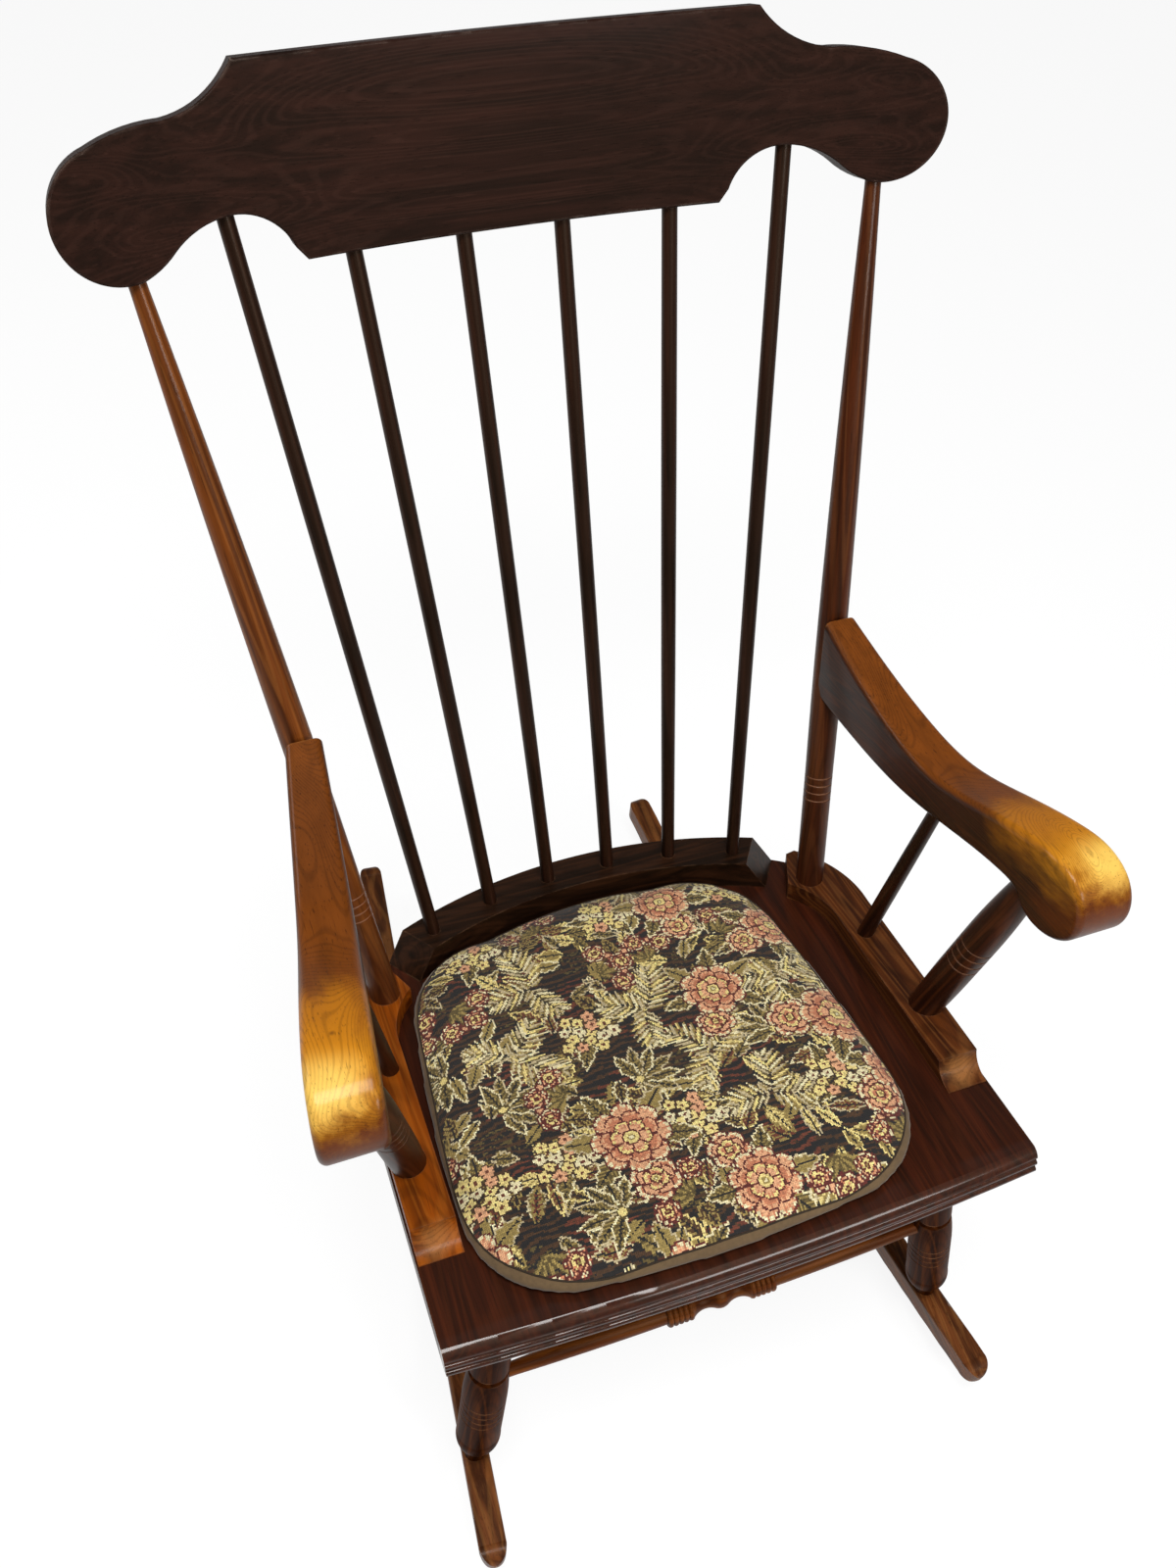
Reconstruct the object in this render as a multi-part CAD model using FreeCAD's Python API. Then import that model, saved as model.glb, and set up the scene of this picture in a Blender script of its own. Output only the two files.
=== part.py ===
import FreeCAD, Part
import math
import os

from FreeCAD import Placement, Rotation, Vector

# A spindle-back rocking chair on two curved runners, with a loose seat pad.
# Millimetres, +Z up, the front towards -Y, left and right as seen from the front.
#
# The upper chair is drawn in the seat's own frame: x to the right, v backwards
# along the seat top from its front edge, w square to the seat top. The runners
# are drawn in the room's frame: y backwards from the seat's front edge, z up
# from the floor.

# How the chair stands
SEAT_SLOPE = 12.95
SEAT_FRONT_HEIGHT = 382.8
FIT = 0.1
SPARE = 60.0

# Seat board
SEAT_WIDTH = 540.0
SEAT_DEPTH = 460.0
SEAT_THICKNESS = 32.0
SEAT_CORNER_DEPTH = 160.0
SEAT_CORNER_WIDTH = 70.0
SEAT_BACK_RADIUS = 477.0
SEAT_CORNER_BULGE = 21.0
FRONT_BOW = 10.0
NOSE_REACH = 13.0
NOSE_DROP = 8.0
REED_COUNT = 4
REED_HEIGHT = 4.2
REED_DEPTH = 1.6
REED_LEAN = 0.4
LIP_SETBACK = 9.0

# Rails that stand on the seat
RAIL_INSET = 1.5
SIDE_RAIL_WIDTH = 39.5
SIDE_RAIL_HEIGHT = 21.0
SIDE_RAIL_FRONT = 70.0
SIDE_RAIL_COVE = 22.0
SIDE_RAIL_BEND_LEAD = 12.0
SIDE_RAIL_TAIL = 62.0
SIDE_RAIL_TAIL_IN = 26.0
SIDE_RAIL_END = 104.0
SIDE_RAIL_END_IN = 8.0
SIDE_RAIL_TOE = 1.2
REAR_RAIL_WIDTH = 42.0
REAR_RAIL_HEIGHT = 32.0
REAR_RAIL_END_INSET = 89.0
REAR_RAIL_END_TURN = 34.0
REAR_RAIL_END_SPREAD = 22.0

# Crest rail, drawn on its own face: s is the height along it
CREST_OVERHANG = 83.0
CREST_RISE = 700.0
CREST_LEAN = 7.0
CREST_CURVE = 940.0
CREST_THICKNESS = 22.0
CREST_TOP = 101.0
CREST_BOTTOM = -40.5
CREST_CORNER_INSET = 100.0
CREST_SHOULDER = 68.0
SHOULDER_RUN = 57.0
SHOULDER_HOLLOW = 2.6
EAR_OUTSET = 35.0
EAR_HEIGHT = 12.0
EAR_RADIUS = 47.0
ARCH_INSET = 80.0
ARCH_TOP = -0.5
ARCH_HALF_WIDTH = 53.0
NECK_RUN = 45.0
NECK_DROP = 18.0
STEP_RUN = 8.0
STEP_RISE = 10.0
CREST_EDGE_ROUND = 1.6
CREST_SOCKET = 24.0

# Back posts and spindles
BACK_POST_INSET = 42.0
BACK_POST_FORWARD = 109.0
BACK_POST_TOP_INSET = 3.0
BACK_POST_RADIUS = 13.9
BACK_POST_SWELL = 14.3
BACK_POST_TOP_RADIUS = 6.9
BACK_POST_RINGS = 95.0
BACK_POST_RING_STEP = 8.3
SPINDLE_BASE_SPAN = 164.0
SPINDLE_BASE_SHARES = (0.2, 0.6, 1.0)
SPINDLE_TOP_OUTSET = 4.0
SPINDLE_TOP_SHARES = (0.183, 0.585, 1.0)
SPINDLE_RADIUS = 6.7
SPINDLE_SWELL = 7.2

# Arms: the side outline in v and w, the plan in x and v
ARM_END_LAP = 12.0
ARM_END_TOP = 309.0
ARM_END_UNDER = 222.0
ARM_DIP_V = 223.0
ARM_DIP_TOP = 255.0
SCROLL_V = 64.0
SCROLL_W = 245.0
SCROLL_RADIUS = 40.0
ARM_NOTCH_V = 97.0
ARM_NOTCH_W = 225.0
ARM_UNDER_V = 255.0
ARM_UNDER_W = 209.0
ARM_FRONT_OUTSET = 34.0
ARM_MIDDLE_OUTSET = 10.0
ARM_REAR_INSET = 18.5
ARM_FRONT_WIDTH = 52.0
ARM_MIDDLE_WIDTH = 47.5
ARM_REAR_WIDTH = 29.0
ARM_EDGE_ROUND = 6.5

# Arm posts and the short spindles behind them
ARM_POST_INSET = 17.0
ARM_POST_V = 157.0
ARM_POST_TOP_OUTSET = 18.0
ARM_POST_TOP_V = 98.0
ARM_POST_RADIUS = 15.4
ARM_POST_SWELL = 16.6
ARM_POST_TOP_RADIUS = 12.0
ARM_POST_RINGS = 84.0
ARM_POST_RING_STEP = 10.0
ARM_SPINDLE_INSET = 25.5
ARM_SPINDLE_V = 260.0
ARM_SPINDLE_TOP_OUTSET = 1.0
ARM_SPINDLE_TOP_V = 217.0
ARM_SPINDLE_RADIUS = 8.0
ARM_SPINDLE_TOP_RADIUS = 6.7
ARM_SOCKET = 20.0

# Runners: an arc that touches the floor under the chair's weight
RUNNER_RADIUS = 1800.0
RUNNER_REST_Y = 287.0
RUNNER_FRONT_Y = -109.0
RUNNER_OVERHANG = 208.0
RUNNER_FRONT_INSET = 13.0
RUNNER_REAR_INSET = 89.0
RUNNER_WIDTH = 26.0
RUNNER_HEIGHT = 30.0
RUNNER_TIP_TAPER = 90.0
RUNNER_NOSE = 9.0
RUNNER_TIP_ROUND = 20.0
RUNNER_EDGE_ROUND = 4.0

# Legs, measured along the leg from the runner upwards
FRONT_LEG_INSET = 62.0
FRONT_LEG_TOP_V = 43.0
FRONT_FOOT_Y = -16.0
REAR_LEG_INSET = 88.0
REAR_LEG_FORWARD = 115.0
REAR_FOOT_FORWARD = 84.0
FOOT_RADIUS = 11.0
FOOT_HEIGHT = 16.0
LEG_RADIUS = 21.0
LEG_SHOULDER = 32.0
LEG_RINGS = 88.0
LEG_RING_STEP = 9.8
LEG_NECK = 163.0
LEG_NECK_RADIUS = 18.5
LEG_TOP_RADIUS = 15.0
LEG_SOCKET = 22.0
FOOT_TENON_RADIUS = 8.0
FOOT_TENON = 18.0

# Stretchers
FRONT_STRETCHER_LEVEL = 147.0
REAR_STRETCHER_LEVEL = 138.0
SIDE_STRETCHER_FRONT_LEVEL = 112.0
SIDE_STRETCHER_REAR_LEVEL = 98.0
STRETCHER_END_RADIUS = 6.5
STRETCHER_RADIUS = 9.2
STRETCHER_SOCKET = 15.0
RING_GROUP_START = 29.0
RING_GROUP_COUNT = 5
RING_GROUP_STEP = 5.2
RING_GROUP_RADIUS = 13.0
CENTRE_BEAD_RADIUS = 11.5
CENTRE_BEAD_HALF = 7.0
STRETCHER_COVE_RADIUS = 7.2

# Incised lines on the turnings
LINE_COUNT = 4
LINE_WIDTH = 1.8
LINE_DEPTH = 0.9

# Screws
SCREW_SHANK_RADIUS = 2.0
SCREW_HEAD_RADIUS = 4.2
SCREW_HEAD_HEIGHT = 2.6
RAIL_SCREW_BITE = 13.0
SIDE_RAIL_SCREWS_V = (112.0, 205.0)
REAR_RAIL_SCREW_SHARES = (-0.4, 0.0, 0.4)
ARM_SCREW_W = 262.0
ARM_SCREW_BITE = 26.0
ARM_SCREW_HEAD = 11.3

# Seat pad
PAD_SIDE_GAP = 4.0
PAD_REAR_GAP = 9.0
PAD_FRONT_V = -2.0
PAD_SHIFT = -20.0
PAD_TAPER = 14.0
PAD_BOW = 7.0
PAD_SIDE_BOW = 5.0
PAD_FRONT_CORNER = 92.0
PAD_REAR_CORNER = 94.0
PAD_BORDER = 14.0
PAD_CROWN = 11.0
PAD_DRAW_IN = 5.0
PAD_GAP = 0.4

slope = math.radians(SEAT_SLOPE)
lean = math.radians(CREST_LEAN)

# Places that follow from the sizes above
half_seat = SEAT_WIDTH / 2
SEAT_SIDE_LENGTH = SEAT_DEPTH - SEAT_CORNER_DEPTH
SEAT_BACK_CORNER = half_seat - SEAT_CORNER_WIDTH
SEAT_BACK_CENTRE = SEAT_DEPTH - SEAT_BACK_RADIUS
SIDE_RAIL_STRAIGHT = SEAT_SIDE_LENGTH - SIDE_RAIL_BEND_LEAD
REAR_RAIL_HALF_SPAN = half_seat - REAR_RAIL_END_INSET
REAR_RAIL_MIDDLE = SEAT_BACK_RADIUS - RAIL_INSET - REAR_RAIL_WIDTH / 2
CREST_SETBACK = SEAT_DEPTH + CREST_OVERHANG
EAR_CENTRE = half_seat + EAR_OUTSET
CREST_CORNER = EAR_CENTRE - CREST_CORNER_INSET
ARCH_CENTRE = EAR_CENTRE - ARCH_INSET
BACK_POST_X = half_seat - BACK_POST_INSET
BACK_POST_V = SEAT_DEPTH - BACK_POST_FORWARD
BACK_POST_TOP_X = EAR_CENTRE - BACK_POST_TOP_INSET
ARM_FRONT_X = half_seat + ARM_FRONT_OUTSET
ARM_MIDDLE_X = half_seat + ARM_MIDDLE_OUTSET
ARM_REAR_X = half_seat - ARM_REAR_INSET
ARM_POST_X = half_seat - ARM_POST_INSET
ARM_POST_TOP_X = half_seat + ARM_POST_TOP_OUTSET
ARM_SPINDLE_X = half_seat - ARM_SPINDLE_INSET
ARM_SPINDLE_TOP_X = half_seat + ARM_SPINDLE_TOP_OUTSET
RUNNER_REAR_Y = SEAT_DEPTH + RUNNER_OVERHANG
RUNNER_FRONT_X = half_seat - RUNNER_FRONT_INSET
RUNNER_REAR_X = half_seat - RUNNER_REAR_INSET
FRONT_LEG_TOP_X = half_seat - FRONT_LEG_INSET
REAR_LEG_TOP_X = half_seat - REAR_LEG_INSET
REAR_LEG_TOP_V = SEAT_DEPTH - REAR_LEG_FORWARD
REAR_FOOT_Y = SEAT_DEPTH - REAR_FOOT_FORWARD
PAD_WIDTH = 2 * (half_seat - RAIL_INSET - SIDE_RAIL_WIDTH - abs(PAD_SHIFT) - PAD_SIDE_GAP)


# Frames

def from_seat(x, v, w):
    """Room position of a point given in the seat's frame."""
    return Vector(x, v * math.cos(slope) + w * math.sin(slope),
                  SEAT_FRONT_HEIGHT - v * math.sin(slope) + w * math.cos(slope))


def tilt(shape):
    """Carries a shape drawn in the seat's frame to the room's frame."""
    turned = shape.copy()
    turned.rotate(Vector(0, 0, 0), Vector(1, 0, 0), -SEAT_SLOPE)
    turned.translate(Vector(0, 0, SEAT_FRONT_HEIGHT))
    return turned


def crest_face(x, s, depth=0.0):
    """Seat-frame point on the crest rail, depth behind its front face."""
    inward = math.sqrt((CREST_CURVE + depth) ** 2 - x ** 2) - CREST_CURVE
    return Vector(x, CREST_SETBACK + s * math.sin(lean) + inward * math.cos(lean),
                  CREST_RISE + s * math.cos(lean) - inward * math.sin(lean))


def crest_point(x, s, depth):
    """Room position of a point inside the crest rail."""
    p = crest_face(x, s, depth)
    return from_seat(p.x, p.y, p.z)


def runner_x(y):
    """Half distance between the runners' centre lines at y."""
    share = (y - RUNNER_FRONT_Y) / (RUNNER_REAR_Y - RUNNER_FRONT_Y)
    return RUNNER_FRONT_X + (RUNNER_REAR_X - RUNNER_FRONT_X) * share


def runner_yaw():
    """Angle by which the runners close in towards the back."""
    return math.atan2(RUNNER_FRONT_X - RUNNER_REAR_X, RUNNER_REAR_Y - RUNNER_FRONT_Y)


def arc_height(along, above):
    """Height on the runner's arc, along from where it rests, above its underside."""
    return RUNNER_RADIUS - math.sqrt((RUNNER_RADIUS - above) ** 2 - along ** 2)


def runner_z(y, above):
    return arc_height((y - RUNNER_REST_Y) / math.cos(runner_yaw()), above)


def mirrored(shape):
    """The same piece on the other side of the chair."""
    return shape.mirror(Vector(0, 0, 0), Vector(1, 0, 0))


# Drawing helpers

def line(a, b):
    return Part.makeLine(a, b)


def arc(a, middle, b):
    return Part.Arc(a, middle, b).toShape()


def smooth(points):
    curve = Part.BSplineCurve()
    curve.interpolate(points)
    return curve.toShape()


def prism(edges, direction):
    return Part.Face(Part.Wire(edges)).extrude(direction)


def half_space(point, normal):
    """A block that fills everything on the normal's side of a plane."""
    size = 2 * SEAT_WIDTH
    block = Part.makeBox(size, size, size, Vector(-size / 2, -size / 2, 0))
    block.Placement = Placement(point, Rotation(Vector(0, 0, 1), normal))
    return block


def turning(start, moves, foot, head, grow=0.0):
    """Revolves an outline and lays it along the line from foot to head.

    start is (z, r). A move is (z, r) for a straight or (zm, rm, z, r) for an
    arc, with z measured from the foot. grow makes the piece's socket.
    """
    z0, r0 = start
    here = Vector(r0 + grow, 0, z0 - grow)
    edges = [line(Vector(0, 0, here.z), here)]
    for count, move in enumerate(moves):
        lift = grow if count == len(moves) - 1 else 0.0
        there = Vector(move[-1] + grow, 0, move[-2] + lift)
        if len(move) == 4:
            edges.append(arc(here, Vector(move[1] + grow, 0, move[0]), there))
        else:
            edges.append(line(here, there))
        here = there
    axis_top = Vector(0, 0, here.z)
    edges.append(line(here, axis_top))
    edges.append(line(axis_top, Vector(0, 0, z0 - grow)))
    face = Part.Face(Part.Wire(edges))
    solid = face.revolve(Vector(0, 0, 0), Vector(0, 0, 1), 360)
    solid.Placement = Placement(foot, Rotation(Vector(0, 0, 1), head - foot))
    return solid


def incised(z, r, step):
    """Moves that cut the group of lines, the first one at z."""
    moves = []
    for count in range(LINE_COUNT):
        middle = z + count * step
        moves.append((middle - LINE_WIDTH / 2, r))
        moves.append((middle, r - LINE_DEPTH, middle + LINE_WIDTH / 2, r))
    return moves


def rounded(solid, radius, chosen):
    """Rounds the edges that the test picks."""
    edges = [edge for edge in solid.Edges if chosen(edge)]
    return solid.makeFillet(radius, edges)


# Turned pieces. Each returns the piece, or its socket when grow is given.

def back_post(grow=0.0):
    foot = from_seat(BACK_POST_X, BACK_POST_V, SIDE_RAIL_HEIGHT)
    top = crest_point(BACK_POST_TOP_X, EAR_HEIGHT - EAR_RADIUS, CREST_THICKNESS / 2)
    length = (top - foot).Length
    lines_end = BACK_POST_RINGS + (LINE_COUNT - 1) * BACK_POST_RING_STEP
    swell = length * 0.36
    moves = [(-6.0, BACK_POST_RADIUS - 3.0), (-6.0, BACK_POST_RADIUS),
             (BACK_POST_RINGS - 12.0, BACK_POST_RADIUS)]
    moves += incised(BACK_POST_RINGS, BACK_POST_RADIUS, BACK_POST_RING_STEP)
    moves += [(lines_end + 8.0, BACK_POST_RADIUS),
              ((lines_end + swell) / 2, (BACK_POST_RADIUS + BACK_POST_SWELL) / 2 + 0.1,
               swell, BACK_POST_SWELL),
              (length * 0.7, (BACK_POST_SWELL + BACK_POST_TOP_RADIUS) / 2 + 1.0,
               length - 6.0, BACK_POST_TOP_RADIUS),
              (length + CREST_SOCKET, BACK_POST_TOP_RADIUS)]
    tenon = SIDE_RAIL_HEIGHT + SEAT_THICKNESS - 8.0
    return turning((-tenon, BACK_POST_RADIUS - 3.0), moves, foot, top, grow)


def back_spindle(base_x, top_x, grow=0.0):
    under = CREST_BOTTOM if abs(top_x) < ARCH_CENTRE - ARCH_HALF_WIDTH else ARCH_TOP
    foot = from_seat(base_x, rear_rail_v(base_x), REAR_RAIL_HEIGHT)
    top = crest_point(top_x, under, CREST_THICKNESS / 2)
    length = (top - foot).Length
    tenon = REAR_RAIL_HEIGHT + SEAT_THICKNESS - 12.0
    moves = [(8.0, SPINDLE_RADIUS),
             (length / 2, SPINDLE_SWELL, length - 8.0, SPINDLE_RADIUS),
             (length + CREST_SOCKET, SPINDLE_RADIUS)]
    return turning((-tenon, SPINDLE_RADIUS), moves, foot, top, grow)


def under_arm(v):
    """Height of the arm's underside at v, along the chord behind the notch."""
    share = (v - ARM_NOTCH_V) / (ARM_UNDER_V - ARM_NOTCH_V)
    return ARM_NOTCH_W + (ARM_UNDER_W - ARM_NOTCH_W) * share


def back_post_at(w):
    """Seat-frame point on the right back post's axis at height w."""
    foot = Vector(BACK_POST_X, BACK_POST_V, SIDE_RAIL_HEIGHT)
    top = crest_face(BACK_POST_TOP_X, EAR_HEIGHT - EAR_RADIUS, CREST_THICKNESS / 2)
    return foot + (top - foot) * ((w - foot.z) / (top.z - foot.z))


def arm_end():
    """How far back the arm reaches: into the front of the back post."""
    return back_post_at(ARM_SCREW_W).y - ARM_END_LAP


def rear_rail_v(x):
    """Middle of the rear rail's curve at x."""
    return SEAT_BACK_CENTRE + math.sqrt(REAR_RAIL_MIDDLE ** 2 - x ** 2)


def arm_post(grow=0.0):
    foot = from_seat(ARM_POST_X, ARM_POST_V, SIDE_RAIL_HEIGHT)
    top = from_seat(ARM_POST_TOP_X, ARM_POST_TOP_V, under_arm(ARM_POST_TOP_V))
    length = (top - foot).Length
    lines_end = ARM_POST_RINGS + (LINE_COUNT - 1) * ARM_POST_RING_STEP
    moves = [(-9.0, ARM_POST_RADIUS - 5.0), (-9.0, ARM_POST_RADIUS), (6.0, ARM_POST_RADIUS),
             (ARM_POST_RINGS / 2, (ARM_POST_RADIUS + ARM_POST_SWELL) / 2 + 0.4,
              ARM_POST_RINGS - 6.0, ARM_POST_SWELL)]
    moves += incised(ARM_POST_RINGS, ARM_POST_SWELL, ARM_POST_RING_STEP)
    moves += [(lines_end + 6.0, ARM_POST_SWELL),
              ((lines_end + length) / 2, (ARM_POST_SWELL + ARM_POST_TOP_RADIUS) / 2 + 1.2,
               length - 3.0, ARM_POST_TOP_RADIUS),
              (length + 4.0, ARM_POST_TOP_RADIUS),
              (length + 4.0, ARM_POST_TOP_RADIUS - 3.5),
              (length + ARM_SOCKET, ARM_POST_TOP_RADIUS - 3.5)]
    tenon = SIDE_RAIL_HEIGHT + SEAT_THICKNESS - 10.0
    return turning((-tenon, ARM_POST_RADIUS - 5.0), moves, foot, top, grow)


def arm_spindle(grow=0.0):
    foot = from_seat(ARM_SPINDLE_X, ARM_SPINDLE_V, SIDE_RAIL_HEIGHT)
    top = from_seat(ARM_SPINDLE_TOP_X, ARM_SPINDLE_TOP_V, under_arm(ARM_SPINDLE_TOP_V))
    length = (top - foot).Length
    tenon = SIDE_RAIL_HEIGHT + SEAT_THICKNESS / 2
    moves = [(5.0, ARM_SPINDLE_RADIUS),
             (length / 2, (ARM_SPINDLE_RADIUS + ARM_SPINDLE_TOP_RADIUS) / 2 + 0.2,
              length - 6.0, ARM_SPINDLE_TOP_RADIUS),
             (length + ARM_SOCKET, ARM_SPINDLE_TOP_RADIUS)]
    return turning((-tenon, ARM_SPINDLE_RADIUS), moves, foot, top, grow)


def leg_ends(front):
    """Foot on the runner's top and head under the seat, for a right leg."""
    y = FRONT_FOOT_Y if front else REAR_FOOT_Y
    top_x = FRONT_LEG_TOP_X if front else REAR_LEG_TOP_X
    top_v = FRONT_LEG_TOP_V if front else REAR_LEG_TOP_V
    return (Vector(runner_x(y), y, runner_z(y, RUNNER_HEIGHT)),
            from_seat(top_x, top_v, -SEAT_THICKNESS))


def leg(front, grow=0.0):
    foot, top = leg_ends(front)
    length = (top - foot).Length
    lines_end = LEG_RINGS + (LINE_COUNT - 1) * LEG_RING_STEP
    shoulder_top = FOOT_HEIGHT + LEG_SHOULDER
    moves = [(-4.0, FOOT_TENON_RADIUS), (-4.0, FOOT_RADIUS - 0.6),
             (FOOT_HEIGHT, FOOT_RADIUS),
             (FOOT_HEIGHT + LEG_SHOULDER * 0.36, FOOT_RADIUS + (LEG_RADIUS - FOOT_RADIUS) * 0.76,
              shoulder_top, LEG_RADIUS),
             (LEG_RINGS - 6.0, LEG_RADIUS)]
    moves += incised(LEG_RINGS, LEG_RADIUS, LEG_RING_STEP)
    moves += [(lines_end + 6.0, LEG_RADIUS),
              ((lines_end + LEG_NECK) / 2 + 3.0, (LEG_RADIUS + LEG_NECK_RADIUS) / 2 + 0.5,
               LEG_NECK, LEG_NECK_RADIUS),
              (LEG_NECK + 4.0, LEG_NECK_RADIUS - 2.2, LEG_NECK + 8.0, LEG_NECK_RADIUS),
              ((LEG_NECK + 8.0 + length) / 2, (LEG_NECK_RADIUS + LEG_TOP_RADIUS) / 2 + 1.0,
               length - 2.0, LEG_TOP_RADIUS),
              (length + 5.0, LEG_TOP_RADIUS), (length + 5.0, LEG_TOP_RADIUS - 4.0),
              (length + LEG_SOCKET, LEG_TOP_RADIUS - 4.0)]
    return turning((-FOOT_TENON, FOOT_TENON_RADIUS), moves, foot, top, grow)


def on_leg(front, level, side=1):
    """Point on a leg's axis, level above the runner."""
    foot, top = leg_ends(front)
    direction = (top - foot).normalize()
    p = foot + direction * level
    return Vector(side * p.x, p.y, p.z)


def plain_stretcher(start, end, grow=0.0):
    length = (end - start).Length
    reach = LEG_RADIUS - STRETCHER_SOCKET
    moves = [(LEG_RADIUS + 4.0, STRETCHER_END_RADIUS),
             (length / 2, STRETCHER_RADIUS, length - LEG_RADIUS - 4.0, STRETCHER_END_RADIUS),
             (length - reach, STRETCHER_END_RADIUS)]
    return turning((reach, STRETCHER_END_RADIUS), moves, start, end, grow)


def front_stretcher(grow=0.0):
    """Turned stretcher: plain ends, two groups of rings and a middle bead."""
    start = on_leg(True, FRONT_STRETCHER_LEVEL, -1)
    end = on_leg(True, FRONT_STRETCHER_LEVEL, 1)
    length = (end - start).Length
    centre = length / 2
    reach = LEG_RADIUS - STRETCHER_SOCKET
    group_end = RING_GROUP_START + RING_GROUP_COUNT * RING_GROUP_STEP
    valley = RING_GROUP_RADIUS - 1.7
    cove_middle = (CENTRE_BEAD_HALF + RING_GROUP_START) / 2
    bead_side = CENTRE_BEAD_RADIUS - 2.0

    def rings(begin):
        return [(begin + (count + 0.5) * RING_GROUP_STEP, RING_GROUP_RADIUS,
                 begin + (count + 1) * RING_GROUP_STEP, valley)
                for count in range(RING_GROUP_COUNT)]

    moves = [(LEG_RADIUS + 4.0, STRETCHER_END_RADIUS),
             ((LEG_RADIUS + centre - group_end) / 2, STRETCHER_END_RADIUS + 2.0,
              centre - group_end, STRETCHER_RADIUS),
             (centre - group_end, valley)]
    moves += rings(centre - group_end)
    moves += [(centre - cove_middle, STRETCHER_COVE_RADIUS,
               centre - CENTRE_BEAD_HALF, bead_side),
              (centre, CENTRE_BEAD_RADIUS, centre + CENTRE_BEAD_HALF, bead_side),
              (centre + cove_middle, STRETCHER_COVE_RADIUS, centre + RING_GROUP_START, valley)]
    moves += rings(centre + RING_GROUP_START)
    moves += [(centre + group_end, STRETCHER_RADIUS),
              ((length - LEG_RADIUS + centre + group_end) / 2, STRETCHER_END_RADIUS + 2.0,
               length - LEG_RADIUS - 4.0, STRETCHER_END_RADIUS),
              (length - reach, STRETCHER_END_RADIUS)]
    return turning((reach, STRETCHER_END_RADIUS), moves, start, end, grow)


def screw(tip, head, grow=0.0):
    """Countersunk wood screw from tip to the top of its head."""
    length = (head - tip).Length
    moves = [(4.0, SCREW_SHANK_RADIUS),
             (length - SCREW_HEAD_HEIGHT, SCREW_SHANK_RADIUS),
             (length - 0.4, SCREW_HEAD_RADIUS), (length, SCREW_HEAD_RADIUS)]
    return turning((0.0, 0.6), moves, tip, head, grow)


def rail_screws(grow=0.0):
    """Screws that come up through the seat into the rails."""
    outer = half_seat - RAIL_INSET - SIDE_RAIL_WIDTH / 2
    places = [(side * outer, v) for side in (-1, 1) for v in SIDE_RAIL_SCREWS_V]
    for share in REAR_RAIL_SCREW_SHARES:
        places.append((share * SPINDLE_BASE_SPAN, rear_rail_v(share * SPINDLE_BASE_SPAN)))
    return [screw(from_seat(x, v, RAIL_SCREW_BITE), from_seat(x, v, -SEAT_THICKNESS), grow)
            for x, v in places]


def arm_screw(grow=0.0):
    """Screw through the back post into the end of the arm."""
    p = back_post_at(ARM_SCREW_W)
    return screw(from_seat(p.x, arm_end() - ARM_SCREW_BITE, ARM_SCREW_W),
                 from_seat(p.x, p.y + ARM_SCREW_HEAD, ARM_SCREW_W), grow)


def screw_well():
    """The bore behind the arm screw's head, out through the post."""
    p = back_post_at(ARM_SCREW_W)
    start = from_seat(p.x, p.y + ARM_SCREW_HEAD, ARM_SCREW_W)
    end = from_seat(p.x, p.y + 2 * BACK_POST_SWELL, ARM_SCREW_W)
    return Part.makeCylinder(SCREW_HEAD_RADIUS + FIT, (end - start).Length, start, end - start)


# Sawn and moulded pieces

def back_curve(inset, half_width):
    """Two ends and the middle of the seat's round back, inset from it."""
    radius = SEAT_BACK_RADIUS - inset
    v = SEAT_BACK_CENTRE + math.sqrt(radius ** 2 - half_width ** 2)
    return (Vector(half_width, v, 0), Vector(0, SEAT_BACK_CENTRE + radius, 0),
            Vector(-half_width, v, 0))


def corner_arc(inset, side):
    """The seat's rounded back corner, from its side to its round back."""
    back = back_curve(inset, SEAT_BACK_CORNER)[0]
    front = Vector(half_seat - inset, SEAT_SIDE_LENGTH, 0)
    chord = back - front
    outward = Vector(chord.y, -chord.x, 0).normalize()
    middle = (front + back) * 0.5 + outward * SEAT_CORNER_BULGE
    points = [Vector(side * p.x, p.y, 0) for p in (front, middle, back)]
    return points


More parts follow.
